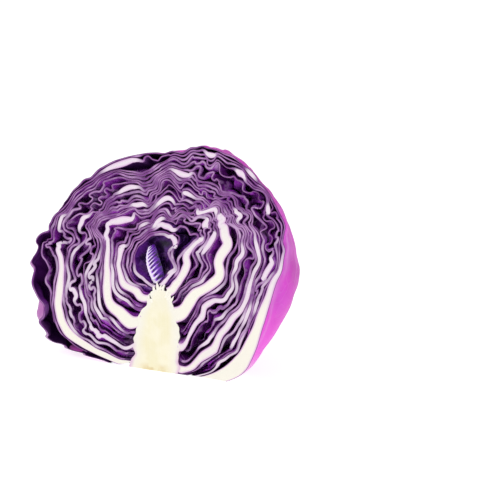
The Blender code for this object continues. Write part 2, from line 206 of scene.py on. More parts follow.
LEAF_NUMBER = {name: index for index, (name, *_) in enumerate(LEAVES)}
CORE_STATION = np.radians(150)  # the direction in which the cut edges end
RIB_SPREAD, RIB_FADES = np.radians(24), 0.42  # a rib's half width, and the station where it has faded away
BACK_REACH, SIDE_REACH, WRAPPER_REACH = 78, 71, 48  # how far forward leaves come where the cut misses them, degrees
BACK_SLOPE, SIDE_SLOPE = 0.018, 0.0125  # how a leaf's margin falls back behind the cut, in stations for each degree
FADE_SPREAD = np.radians(12)  # the room for a leaf fades away this far past its margin
rib_count = {side: sum(side == leaf[1] for leaf in LEAVES) for side in ("left", "right", "back")}
print(len(LEAVES), "leaves; where their ribs are:", rib_count)

# %% Where each leaf ends
def tip_of(index):
    """The station where the cut edge of a leaf ends, away from its rib."""
    name, side, *_ = LEAVES[index]
    if name == "wrapper_leaf_4":
        return -0.30
    return 0.95 + 0.035 * np.sin(2.4 * index) if side == "back" else -0.84 + 0.09 * np.sin(1.7 * index)


def margin_of(index, station):
    """How far forward a leaf reaches at each station, in degrees: 90 is the cut face."""
    (name, side, *_), tip = LEAVES[index], tip_of(index)
    if side == "back":
        low = tip + (90 - BACK_REACH) * BACK_SLOPE
        return np.interp(abs(station), (0, tip, low, 1.3, 2), (90, 90, BACK_REACH, BACK_REACH, 90))
    reach = WRAPPER_REACH if name.startswith("wrapper") else SIDE_REACH
    along = station if side == "right" else -station
    low = tip - (90 - reach) * SIDE_SLOPE
    return np.interp(along, (-2, -1.4, low, tip, 2), (reach + 8, reach + 4, reach, 90, 90))


def inside_margin(index, station, spread):
    """How far a place is from its leaf's own margin, in degrees of spread, also where the cut face goes through."""
    (_, side, *_), tip = LEAVES[index], tip_of(index)
    kept = (tip - abs(station)) / BACK_SLOPE if side == "back" else (
        (station if side == "right" else -station) - tip) / SIDE_SLOPE
    return margin_of(index, station) - np.degrees(spread) + np.maximum(kept, 0)


# %% How thick each rib is
def rib_thickness(index, station, spread):
    """How thick the rib is in mm: most at its foot, less along it and to each side."""
    _, side, rib, taper = LEAVES[index]
    if side == "back":
        reference = station * CORE_STATION
        off_middle = np.arcsin(np.clip(np.sin(spread) * np.sin(reference), -1, 1))
        rise = 0.5 - 0.5 * np.sin(spread) * np.cos(reference)
        return rib * np.exp(-((off_middle / RIB_SPREAD) ** 2)) * rise**taper
    along = station if side == "right" else -station
    climb = np.clip((np.minimum(along, 1) - RIB_FADES) / (1 - RIB_FADES), 0, 1)
    thick = rib * climb**taper * smooth_step(climb, 0, 0.25) * smooth_step(2 - along, 0, 0.8)
    return thick * np.exp(-(((np.pi / 2 - spread) / RIB_SPREAD) ** 2))


print("thickest rib:", round(float(rib_thickness(len(LEAVES) - 1, 1.0, np.pi / 2)), 1), "mm")

# %% Ripples: smooth random values that are the same on every run
def ripple(place, seed, shortest, longest, count=10, drift=None):
    """The sum of a few sine waves with random headings and lengths, in mm, over places in metres, about -2 to 2.
    Drift shifts each wave by its own random amount, so that another drift gives another, unrelated ripple."""
    draw = np.random.default_rng(seed)
    heading = draw.normal(size=(count, 3))
    heading /= np.linalg.norm(heading, axis=1)[:, None]
    number = 2 * np.pi / (draw.uniform(shortest, longest, count) * 0.001)
    phase, shift = draw.uniform(0, 2 * np.pi, count), draw.uniform(-np.pi, np.pi, count)
    total = 0
    for k in range(count):
        angle = place @ (heading[k] * number[k]) + phase[k]
        total = total + np.sin(angle if drift is None else angle + 7 * shift[k] * drift)
    return total / np.sqrt(count / 2)


print("a ripple every 10 mm:", np.round(ripple(np.arange(6)[:, None] * [0.01, 0, 0], 5, 26, 60), 1).tolist())

# %% The stations that all the leaves share, and the spreads at which their slots are worked out
CUT_COLUMNS, BASE_COLUMNS = 640, 32  # points round a leaf: along its cut edge, and on each side of the base
STATIONS = np.concatenate([
    np.linspace(-1, 1, CUT_COLUMNS + 1),
    np.linspace(1, 2, BASE_COLUMNS + 1)[1:],
    np.linspace(-2, -1, BASE_COLUMNS + 1)[1:-1],
])
TABLE_SPREADS = np.radians(np.concatenate([np.arange(0, 60, 3), np.arange(60, 90.1, 1.25)]))
print("stations:", len(STATIONS), "and spreads:", len(TABLE_SPREADS))

# %% Pockets of air and thick veins at known places: leaf, share of room, station, length, depth in degrees
POCKETS = (
    ("wrapper_leaf_3", 9.0, -0.76, 0.24, 38), ("wrapper_leaf_3", 7.0, -0.94, 0.12, 30),
    ("inner_leaf_15", 6.5, 0.235, 0.055, 14),
    ("inner_leaf_14", 3.5, 0.14, 0.04, 10), ("wrapper_leaf_3", 2.6, -0.05, 0.05, 12),
    ("inner_leaf_15", 3.4, 0.50, 0.05, 9), ("inner_leaf_14", 3.5, 0.335, 0.04, 9),
    ("inner_leaf_15", 2.2, 0.385, 0.035, 8), ("inner_leaf_11", 5.0, -0.60, 0.07, 10),
    ("inner_leaf_12", 4.0, -0.72, 0.07, 10), ("inner_leaf_05", 4.2, -0.40, 0.07, 12),
    ("inner_leaf_03", 3.4, -0.33, 0.05, 12), ("inner_leaf_01", 4.2, 0.33, 0.09, 14),
    ("inner_leaf_06", 4.2, 0.62, 0.06, 12), ("wrapper_leaf_1", 3.2, 0.62, 0.05, 9),
    ("wrapper_leaf_4", 2.2, 0.58, 0.05, 8), ("wrapper_leaf_2", 2.0, 0.67, 0.05, 9),
    ("inner_leaf_13", 1.2, 0.77, 0.05, 9), ("wrapper_leaf_2", 4.5, -0.55, 0.09, 12),
    ("inner_leaf_15", 4.0, -0.46, 0.08, 12), ("wrapper_leaf_4", 1.0, 0.90, 0.04, 12),
    ("inner_leaf_15", 3.0, -0.985, 0.05, 8), ("inner_leaf_05", 3.0, -0.985, 0.05, 8),
    ("inner_leaf_06", 1.5, 0.985, 0.05, 8), ("wrapper_leaf_3", 2.5, 0.93, 0.05, 9),
)
VEINS = (
    ("inner_leaf_13", 4.0, 0.045, 0.030, 20), ("inner_leaf_12", 2.6, -0.145, 0.035, 22),
    ("inner_leaf_08", 2.2, 0.085, 0.035, 22), ("inner_leaf_06", 2.2, -0.005, 0.05, 22),
    ("wrapper_leaf_3", 2.8, 0.13, 0.020, 20), ("wrapper_leaf_3", 3.4, -0.13, 0.045, 24),
    ("inner_leaf_02", 2.8, 0.39, 0.05, 20), ("inner_leaf_04", 2.8, 0.60, 0.045, 20),
    ("wrapper_leaf_2", 2.4, 0.40, 0.020, 18), ("wrapper_leaf_1", 3.2, 0.24, 0.018, 18),
    ("inner_leaf_05", 2.2, -0.27, 0.06, 24), ("inner_leaf_05", 1.4, -0.42, 0.10, 24),
    ("inner_leaf_06", 3.4, 0.42, 0.05, 24), ("inner_leaf_06", 2.2, 0.53, 0.09, 24),
    ("inner_leaf_02", 1.6, -0.52, 0.10, 20), ("heart_leaf_1", 2.4, 0.33, 0.15, 18),
)
BLADE_MM, BLADE_UNEVEN, OUTER_BLADE = 1.3, 0.22, 0.75  # how thick a blade is, its ripple, the outer leaves' part
FLESHY_LOW = 0.6  # how much thicker blades are towards the core
AIR, WRAPPER_AIR, AIR_UNEVEN = 0.7, 0.8, 1.15  # a leaf's share of the air, an outer leaf's, and how it varies
LEAST_AIR, LEAST_GAP = 0.02, 0.12  # what is left of them past a leaf's margin, and where the flesh fills the room
LEVELS = 32  # shells between which the way out from the heart is measured
print(len(POCKETS), "pockets and", len(VEINS), "thick veins at known places")

# %% What each leaf brings to a place: flesh, and a share of the air
def placed(features, station, spread):
    """The named features of all leaves: bells over station and over depth behind the cut face."""
    total = np.zeros((len(LEAVES),) + station.shape)
    for name, share, middle, length, depth in features:
        along, behind = (station - middle) / length, (np.pi / 2 - spread) / np.radians(depth)
        total[LEAF_NUMBER[name]] += share * np.exp(-(along**2) - behind**2)
    return total


def flesh_and_air(number, place, station, spread):
    """For all leaves: how far each is there, its blade, its rib and its veins in mm, and its share of the air. A
    blade is its usual thickness times a ripple, and more towards the core. The air is a ripple, raised to a power
    of e so that it is never negative, plus the pockets."""
    there, ribs = [], []
    for index in range(len(LEAVES)):
        margin = np.radians(margin_of(index, station))
        there.append(smooth_step(margin + FADE_SPREAD - spread, 0, FADE_SPREAD))
        ribs.append(rib_thickness(index, station, spread))
    there, ribs = np.array(there), np.array(ribs)
    calm = 0.6 * smooth_step(abs(station), 0.6, 0.85) * smooth_step(np.degrees(spread), 55, 75)  # beside the core
    wrapper = smooth_step(number, len(LEAVES) - 4.5, len(LEAVES) - 3.5)  # 1 for the four outer leaves
    veins = np.maximum(ripple(place, 21, 16, 40, drift=number) - 1.35, 0) * 1.9 * (1 - 0.85 * calm)
    veins = veins * (1 - smooth_step(ribs, 0.4, 2)) + placed(VEINS, station, spread)
    blade = BLADE_MM * (1 + BLADE_UNEVEN * ripple(place, 8, 12, 30, drift=number))
    blade = blade * (1 + (OUTER_BLADE - 1) * wrapper)
    blade = blade * (1 + FLESHY_LOW * smooth_step(abs(station), 0.4, 0.85)) + veins
    uneven = AIR_UNEVEN * (1 - 0.45 * calm)
    uneven = np.exp(uneven * ripple(place, 5, 26, 60, drift=number) - uneven**2 / 2)
    air = (AIR + (WRAPPER_AIR - AIR) * wrapper) * uneven
    air = air * (1 - 0.7 * smooth_step(ribs, 1, 4)) + placed(POCKETS, station, spread)
    air = air * np.maximum(there, LEAST_AIR)
    return there, blade, ribs, veins, air


# %% The slots: solid leaves keep their thickness, and the air between them takes up what is left of the way out
def make_slots(station, spread):
    """For all leaves at once: the first and last shell of each slot, the stiffness of its two sides and its middle,
    its blade and its rib in mm, which neighbour it leans on, and where along its edge its bends fall."""
    number = np.arange(len(LEAVES)).reshape(-1, 1, 1)
    middle_shell = (number + 0.5) / len(LEAVES) + 0 * station
    place = shell_place(middle_shell, bearing_of(station + 0 * number, middle_shell), spread + 0 * number)
    there, blade, ribs, veins, air = flesh_and_air(number, place, station, spread)
    solid = (blade + ribs) * there
    levels = np.linspace(0, 1, LEVELS + 1).reshape(-1, 1, 1)
    station_there, level_there = station + 0 * levels, levels + 0 * station
    way = shell_place(level_there, bearing_of(station_there, level_there), spread + 0 * levels)
    length = np.zeros(way.shape[:-1])
    length[1:] = np.cumsum(np.linalg.norm(np.diff(way, axis=0), axis=-1), axis=0) * 1000
    width = length[-1]

    def shell_at(distance):
        """The shell at a distance in mm on the way out."""
        below = np.clip(np.sum(length <= distance, axis=0) - 1, 0, LEVELS - 1)[None]
        near, far = np.take_along_axis(length, below, 0), np.take_along_axis(length, below + 1, 0)
        return (below[0] + ((distance - near) / np.maximum(far - near, 1e-9))[0]) / LEVELS

    spare = np.maximum(width - solid.sum(axis=0), LEAST_GAP * width)
    share = solid + air / air.sum(axis=0) * spare
    ends = np.cumsum(share, axis=0) * width / share.sum(axis=0)
    borders = np.array([0 * width] + [shell_at(end) for end in ends[:-1]] + [0 * width + 1])
    stiff = smooth_step((0.6 * ribs + veins) * there, 0.3, 2.0)
    for held in (0.8, 0.5):
        padded = np.concatenate([stiff[:1], stiff, stiff[-1:]])
        stiff = np.maximum(stiff, held * np.maximum(padded[:-2], padded[2:]))
    under = (stiff + np.concatenate([stiff[:1], stiff[:-1]])) / 2
    over = (stiff + np.concatenate([stiff[1:], stiff[-1:]])) / 2
    leaning = np.tanh(1.6 * ripple(place, 13, 16, 34, drift=number))
    wander = ripple(place, 31, 24, 50, drift=number)
    return np.stack([borders[:-1], borders[1:], under, stiff, over, blade, ribs * there, leaning, wander], axis=1)


SLOTS = make_slots(*np.meshgrid(STATIONS, TABLE_SPREADS))
print("slots: leaves, values, spreads and stations:", SLOTS.shape)

# %% Looking up a slot
def slot_of(index, columns, spread):
    """The rows of the table for one leaf at these columns, with straight lines between the table's spreads."""
    row = np.interp(spread, TABLE_SPREADS, np.arange(len(TABLE_SPREADS)))
    first = np.minimum(row.astype(int), len(TABLE_SPREADS) - 2)
    table, share = SLOTS[index], row - first
    return table[:, first, columns] * (1 - share) + table[:, first + 1, columns] * share


straight_up = slot_of(len(LEAVES) - 1, CUT_COLUMNS // 2, np.pi / 2)
print("slot of the outermost leaf, straight up:", np.round(straight_up[:2], 3).tolist())

# %% [markdown]
# ## Folds that all the leaves share
# In a tight head neighbouring leaves buckle together. If each were waved on its own they would cut through each
# other, so the whole space of the head is folded instead: every point drifts a short way along a swirling stream
# that flows only sideways and up, never in or out of the cut face. Such a stream can stretch and shear the stack
# of leaves but never make two of them change places. It stands still in the core and in the stiff ribs.

# %% The stream: a sum of waves of three sizes, each flowing along its own crests
FOLD_SIZES = ((9, 34, 60, 1.2), (13, 14, 24, 1.35), (15, 8.5, 12, 0.7))  # count, shortest, longest, drift in mm
FOLD_STEPS = 5


def make_folds():
    """Numbers, phases and sizes of the waves. A wave's size is its drift over its number, since the stream is the
    slope of the waves; they change slowly inwards, so that the folds run some way behind the cut."""
    draw = np.random.default_rng(4)
    numbers, phases, sizes = [], [], []
    for count, shortest, longest, drift in FOLD_SIZES:
        turn = draw.uniform(0, 2 * np.pi, count)
        number = 2 * np.pi / (draw.uniform(shortest, longest, count) * 0.001)
        inward = draw.uniform(-0.45, 0.45, count) * number
        numbers.append(np.stack([number * np.cos(turn), inward, number * np.sin(turn)], axis=-1))
        phases.append(draw.uniform(0, 2 * np.pi, count))
        sizes.append(np.full(count, drift * 0.001 / np.sqrt(count / 2)) / number)
    return [np.concatenate(part).astype(np.float32) for part in (numbers, phases, sizes)]


FOLDS = make_folds()


def folded(place, looseness):
    """The place after a few steps along the stream, whose speed is the turned slope of the sum of waves."""
    numbers, phases, sizes = FOLDS
    place = place.astype(np.float32)
    for _ in range(FOLD_STEPS):
        slope = np.cos(place @ numbers.T + phases) * sizes
        speed = np.stack([slope @ numbers[:, 2], -(slope @ numbers[:, 0])], axis=-1)
        place[..., [0, 2]] += speed * looseness[..., None].astype(np.float32) / FOLD_STEPS
    return place.astype(float)


# %% The broad waves of the CAD leaves, which move a place from shell to shell
WAVE_COUNT, WAVE_HEIGHT, WAVE_LEAST, WAVE_MOST, WAVE_DRIFT, WAVE_SEED = 14, 0.021, 5.0, 11.0, 8.0, 11


def direction_of(station, spread):
    """The direction, from the middle of the head, of a station at a spread."""
    reference, out = station * CORE_STATION, np.sin(spread)
    return np.stack([out * np.sin(reference), np.cos(spread) + 0 * reference, out * np.cos(reference)], axis=-1)


def creased(shell, station, spread):
    """The shell that a place moves to: a sum of waves over direction, still where leaves join the core."""
    draw = np.random.default_rng(WAVE_SEED)
    heading = draw.normal(size=(WAVE_COUNT, 3))
    heading /= np.linalg.norm(heading, axis=1)[:, None]
    numbers = heading * draw.uniform(WAVE_LEAST, WAVE_MOST, WAVE_COUNT)[:, None]
    phases, drifts = draw.uniform(0, 2 * np.pi, WAVE_COUNT), draw.uniform(-1, 1, WAVE_COUNT)
    direction = direction_of(station, spread)
    angle = direction @ numbers.T + phases + WAVE_DRIFT * drifts * shell[..., None]
    wave = np.sin(angle).sum(axis=-1) / np.sqrt(WAVE_COUNT / 2)
    return shell + WAVE_HEIGHT * smooth_step(direction[..., 2], -0.86, -0.55) * smooth_step(shell, 0, 0.25) * wave


def shell_point(shell, station, spread, stiff):
    """A point of a shell with the broad waves and then the folds, which are weaker near core, base and outside."""
    shell = creased(shell, station, spread)
    place = shell_place(shell, bearing_of(station, shell), spread)
    radius = np.hypot(place[..., 0], place[..., 1])
    above = np.maximum(place[..., 2] - CORE_HEIGHTS[-1], 0)
    from_core = np.where(above > 0, np.hypot(radius, above), radius - core_radius(place[..., 2]))
    looseness = smooth_step(from_core, 0.0005, 0.011) * smooth_step(place[..., 2], 0.001, 0.012)
    looseness = looseness * (1 - 0.93 * stiff) * (1 - 0.72 * smooth_step(shell, 0.86, 1))
    looseness = looseness * (0.62 + 0.62 * smooth_step(ripple(place, 17, 20, 38, count=6), -0.7, 1.2))
    return folded(place, looseness)


print("folds:", len(FOLDS[1]), "waves")

# %% [markdown]
# ## One leaf
# A leaf is a closed sheet: an inner face, an outer face and the edge between them, on a grid of stations by rows.
# The rows start at the knife's cut, or at the leaf's own margin where that lies behind it, and end in one point at
# the middle of the back. They are close together near the cut, where every fold shows, and each second point is
# dropped further in. In its slot the blade leans on one neighbour or the other, and where the slot is wide it
# swings from side to side in tight bends. A Solidify modifier could thicken one face, but not from a thin margin to
# a thick rib, so both faces are worked out, at right angles to the sheet, and its thickness stays even.

# %% The grid: where the rows lie, in degrees of spread, and which points of each row are kept
INNER_ROWS = (90, 89.4, 88.6, 87.6, 86.3, 84.7, 82.7, 80, 76.5, 72, 66, 58, 47, 34, 20, 9)
INNER_SKIPS = (1, 1, 1, 1, 1, 1, 2, 2, 4, 4, 4, 8, 8, 16, 16, 32)
OUTER_ROWS = (90, 89.4, 88.7, 87.9, 87, 86, 84.9, *np.linspace(83.5, 24, 36), 19, 14, 9, 4.5)
OUTER_SKIPS = (1,) * 34 + (2,) * 7 + (4, 4, 8, 16, 32, 32)
ROW_LEAST = 0.05  # the least distance from row to row behind the edge, in rows

# How far along the cut edge every station lies, for each leaf
TABLE_STATIONS = np.linspace(-2, 2, 1601)
ARC = np.zeros((len(LEAVES), len(TABLE_STATIONS)))
for index in range(len(LEAVES)):
    shell = np.full_like(TABLE_STATIONS, (index + 0.5) / len(LEAVES))
    edge = shell_place(shell, bearing_of(TABLE_STATIONS, shell), np.pi / 2)
    ARC[index, 1:] = np.cumsum(np.linalg.norm(np.diff(edge, axis=0), axis=1))
longest_edge = np.ptp(np.interp([-1, 1], TABLE_STATIONS, ARC[-1])) * 1000
print("grid:", len(STATIONS), "stations; longest cut edge", round(longest_edge), "mm")

# %% How a blade lies in its slot
BEND_SHORTEST, BEND_LONGEST, BEND_DEEPEST = 7.0, 11.5, 4.2  # mm along the edge from bend to bend, and across
BEND_FULLNESS = 0.8  # 0 is a plain wave; more has flatter crests
OVERHANG = 0.055  # how far a bend leans over its neighbour, as a part of its length
OUT_LEANING = smooth_step(np.arange(len(LEAVES)), 18.2, 20)  # outermost leaves keep to the outside of their slots
LEAST_THICK, MOST_OF_ROOM = 0.35, 0.93  # in mm, and as a part of the slot
MARGIN_THICK = 0.42  # a leaf's thickness at its margin, as a part of the blade's


def unit(vector):
    """The vector divided by its length."""
    return vector / np.maximum(np.linalg.norm(vector, axis=-1, keepdims=True), 1e-12)


def swing(index, station, spread, room, thick, stiff, leaning, wander):
    """Where in its slot the middle of a blade lies, from 0 to 1, and its station. Without room it leans on one
    neighbour; with room it follows a sine with flat crests along the edge, whose length wanders."""
    spare = np.clip(1 - thick / np.maximum(room, 0.01), 0, 1)
    loose = smooth_step(room - thick, 0.5, 2.0) * smooth_step(np.degrees(spread), 40, 66) * (1 - stiff)
    loose = loose * (0.4 if index < 3 else 1)
    bare = -station if index < len(LEAVES) - 1 else 1 + 0 * station
    outermost = OUT_LEANING[index] * smooth_step(bare, 0.1, 0.35)
    loose = loose * (1 - outermost * (1 - smooth_step(np.degrees(spread), 76, 89)))
    length = (BEND_SHORTEST + (BEND_LONGEST - BEND_SHORTEST) * ((index * 0.618) % 1)) * (1 + 0.9 * outermost)
    arc = np.interp(station, TABLE_STATIONS, ARC[index]) * 1000
    phase = 2 * np.pi * arc / length + (1.9 - 0.8 * outermost) * wander + 5 * index
    bend = np.tanh(BEND_FULLNESS * np.sin(phase)) / np.tanh(BEND_FULLNESS) * loose
    swinging = np.clip((BEND_DEEPEST - 0.4 * outermost) / np.maximum(room - thick, 0.01), 0, 1) * loose
    behind = 1 - smooth_step(np.degrees(spread), 76, 89)
    leaning = leaning + (0.25 + 0.65 * behind - leaning) * outermost
    part = 0.5 + 0.47 * spare * (leaning * (1 - swinging) + bend * swinging)
    pace = np.interp(station, TABLE_STATIONS, np.gradient(ARC[index], TABLE_STATIONS)) * 1000
    lean_station = station - OVERHANG * (1 - outermost) * length / pace * np.sin(2 * phase) * loose
    return part, lean_station


# %% One face of a leaf
def leaf_sheet(index, side, columns, spread):
    """One face of a leaf, 0 the inner and 1 the outer: the middle of the blade in its slot, moved half the
    thickness along the normal, and near the core along the shells instead. Also the thickness in mm."""
    station = STATIONS[columns]
    first, last, under, stiff, over, blade, ribs, leaning, wander = slot_of(index, columns, spread)
    low, high = shell_point(first, station, spread, under), shell_point(last, station, spread, over)
    room = np.linalg.norm(high - low, axis=-1) * 1000
    thick = blade * (MARGIN_THICK + (1 - MARGIN_THICK) * smooth_step(inside_margin(index, station, spread), 0, 6))
    thick = np.clip(thick + ribs, LEAST_THICK, np.maximum(MOST_OF_ROOM * room, LEAST_THICK + 0.01))
    part, lean_station = swing(index, station, spread, room, thick, stiff, leaning, wander)
    middle_stiff = np.where(part < 0.5, under + (stiff - under) * 2 * part, stiff + (over - stiff) * (2 * part - 1))
    shell = first + (last - first) * part
    hand = 2 * side - 1
    half = (last - first) * np.clip(thick / np.maximum(room, 0.01), 0, MOST_OF_ROOM) / 2
    shelled = shell_point(np.clip(shell + hand * half, first, last), lean_station, spread, middle_stiff)
    if spread.ndim == 1:
        return shelled, thick, ribs
    middle = shell_point(shell, lean_station, spread, middle_stiff)
    along = np.roll(middle, -1, axis=1) - np.roll(middle, 1, axis=1)
    normal = np.cross(along, np.gradient(middle, axis=0))
    normal = unit(normal * np.sign(np.sum(normal * (high - low), axis=-1, keepdims=True)))
    flat = unit(normal * [1, 0, 1])
    depth_behind = smooth_step(middle[..., 1:2], 0.001, 0.008)
    normal = unit(flat + (normal - flat) * depth_behind)
    straight = middle + hand * normal * thick[..., None] * 0.0005
    near_core = smooth_step(abs(station), 0.72, 0.9)[..., None]
    return straight + (shelled - straight) * near_core, thick, ribs


# %% Where the rows of points run: from the edge of the leaf to the middle of the back
def rows_of(index, side, rows):
    """The spread of every grid point: the given rows, pressed together behind the edge of the leaf."""
    numbers = np.arange(len(rows))
    spread_at = lambda number: np.radians(np.interp(number, numbers, rows))
    below = np.flatnonzero(abs(STATIONS) > 1)
    point_at = lambda number: leaf_sheet(index, side, below, spread_at(number))[0]
    edge = np.zeros(len(STATIONS))
    edge[below] = last_free(point_at, np.full(len(below), len(rows) - 1.5), np.full(len(below), -0.5))
    margin = np.interp(-margin_of(index, STATIONS), -np.array(rows), numbers)
    is_margin = (margin > edge) & (margin > 0.02)
    edge = np.maximum(edge, margin)
    return spread_at(np.maximum(numbers[:, None], edge + numbers[:, None] * ROW_LEAST)), is_margin


# %% Triangles between rows, all as whole arrays
def between_rows(first, second):
    """Triangles between two closed rows of vertex numbers, the second with as many points or half as many."""
    if len(first) == len(second):
        f1, s1 = np.roll(first, -1), np.roll(second, -1)
        return np.concatenate([np.stack([first, f1, s1], 1), np.stack([first, s1, second], 1)])
    a, b, c, s1 = first[::2], first[1::2], np.roll(first[::2], -1), np.roll(second, -1)
    return np.concatenate([np.stack(t, 1) for t in ((a, b, second), (b, c, s1), (b, s1, second))])


# %% A mesh object from arrays
def make_mesh(name, points, triangles, attributes, material):
    """A mesh object from arrays, with the head's lean; vertices that no triangle uses are left out."""
    points = points + points[:, 2:] * [TILT, 0, 0] + [ASIDE, 0, 0]
    used, triangles = np.unique(triangles, return_inverse=True)
    triangles = triangles.reshape(-1, 3)
    mesh = bpy.data.meshes.new(name)
    mesh.vertices.add(len(used))
    mesh.vertices.foreach_set("co", points[used].astype(np.float32).ravel())
    mesh.loops.add(triangles.size)
    mesh.loops.foreach_set("vertex_index", triangles.astype(np.int32).ravel())
    mesh.polygons.add(len(triangles))
    mesh.polygons.foreach_set("loop_start", np.arange(0, triangles.size, 3, dtype=np.int32))
    mesh.update(calc_edges=True)
    for key, values in attributes.items():
        mesh.attributes.new(key, "FLOAT", "POINT").data.foreach_set("value", values[used].astype(np.float32))
    mesh.materials.append(material)
    mesh.shade_smooth()
    mesh.set_sharp_from_angle(angle=np.radians(48))
    obj = bpy.data.objects.new(name, mesh)
    bpy.context.scene.collection.objects.link(obj)
    return obj


# %% [markdown]
# ## Veins and dents of the two outermost leaves
# Only these two show their faces, so only they get relief in the mesh. A cabbage leaf's veins spread like a fan
# from the foot of its rib and fork on the way out. A drawn picture of veins could be wrapped round the leaf, but it
# would stretch; here each point gets two numbers instead, its distance from the foot and the direction from there,
# and the veins are the places where the direction is near a whole step of the fan. The same two numbers are kept
# for the finish.

# %% The fan of veins
VEIN_FANS = ((7, 0.05, 2.4, 1.0), (14, 0.5, 1.6, 0.75), (28, 0.95, 1.0, 0.5))  # count, start, width in mm, strength
VEIN_RADIUS_MM = 70


def vein_fan(index, station, spread, place):
    """How far a place is from the foot of its leaf, and in which direction, in radians, a little rippled."""
    hand = -1 if LEAVES[index][1] == "left" else 1
    foot = direction_of(np.float64(0.93 * hand), np.pi / 2)
    first = unit(np.cross(foot, [0, hand, 0]))
    direction = direction_of(station, spread)
    away = np.arccos(np.clip(direction @ foot, -1, 1))
    turn = np.arctan2(direction @ np.cross(foot, first), direction @ first)
    return away, turn + 0.08 * ripple(place, 61, 22, 50)


# %% Relief
VEIN_RELIEF, DENT_RELIEF = 0.00035, {"left": 0.0011, "right": 0.00022}  # in metres; the left leaf is crumpled
MIDDLE_OF_HEAD = np.array([0, 0, 0.06])


def with_relief(index, side, spread, points, ribs):
    """The points moved outwards by the first fan of veins, on the outer face alone, and by a ripple of dents; also
    the two numbers of the fan. The outermost leaf is never pressed into the next one, and that one is crumpled only
    where it is bare."""
    shell = np.full(spread.shape, (index + 0.5) / len(LEAVES))
    place = shell_place(shell, bearing_of(STATIONS, shell), spread)
    away, turn = vein_fan(index, STATIONS + 0 * spread, spread, place)
    count, start, width, _ = VEIN_FANS[0]
    part = turn * count / (2 * np.pi)
    off = abs(part - np.round(part)) * 2 * np.pi / count * np.sin(np.minimum(away, 1.57)) * VEIN_RADIUS_MM
    relief = VEIN_RELIEF * np.exp(-((off / width) ** 2)) * smooth_step(away, start, start + 0.25)
    lifted = 1.6 if index == len(LEAVES) - 1 else 0
    dents = DENT_RELIEF[LEAVES[index][1]] * (ripple(place, 63, 8, 18) + lifted)
    relief = relief * side + dents * (1 - smooth_step(ribs, 1, 5))
    if index == len(LEAVES) - 2:
        relief = relief * smooth_step(np.degrees(spread) - margin_of(index + 1, STATIONS), 2, 12)
    behind = smooth_step(points[..., 1], 0.0002, 0.003) * smooth_step(points[..., 2], 0.0005, 0.004)
    return points + unit(points - MIDDLE_OF_HEAD) * (relief * behind)[..., None], (away, turn)


print("relief of the veins:", VEIN_RELIEF * 1000, "mm; dents:", DENT_RELIEF)

# %% The triangles of a leaf: two faces that each end in one point, and the strip along the edge
STRIP = np.array([-0.78, 0.0, 0.78])  # the lines of points across the edge, from face to face


def leaf_triangles(skips, columns):
    """Every row of a face is joined to the next one, which may have half as many points; the inner face is turned
    round, so that both look outwards."""
    count = len(skips) * columns
    faces = [
        [face * count + row * columns + np.arange(0, columns, skip) for row, skip in enumerate(skips)]
        for face in (0, 1)
    ]
    triangles = []
    for face, rows in enumerate(faces):
        made = [between_rows(a, b) for a, b in zip(rows, rows[1:])]
        end = 2 * count + len(STRIP) * columns + face
        made.append(np.stack([rows[-1], np.roll(rows[-1], -1), np.full_like(rows[-1], end)], 1))
        triangles.append(np.concatenate(made)[:, ::1 if face else -1])
    strip = [2 * count + line * columns + np.arange(columns) for line in range(len(STRIP))]
    across = [faces[0][0], *strip, faces[1][0]]
    return np.concatenate(triangles + [between_rows(a, b) for a, b in zip(across, across[1:])])


# %% A whole leaf
WORN = 0.00010  # how far the corners of a cut edge draw back, in metres


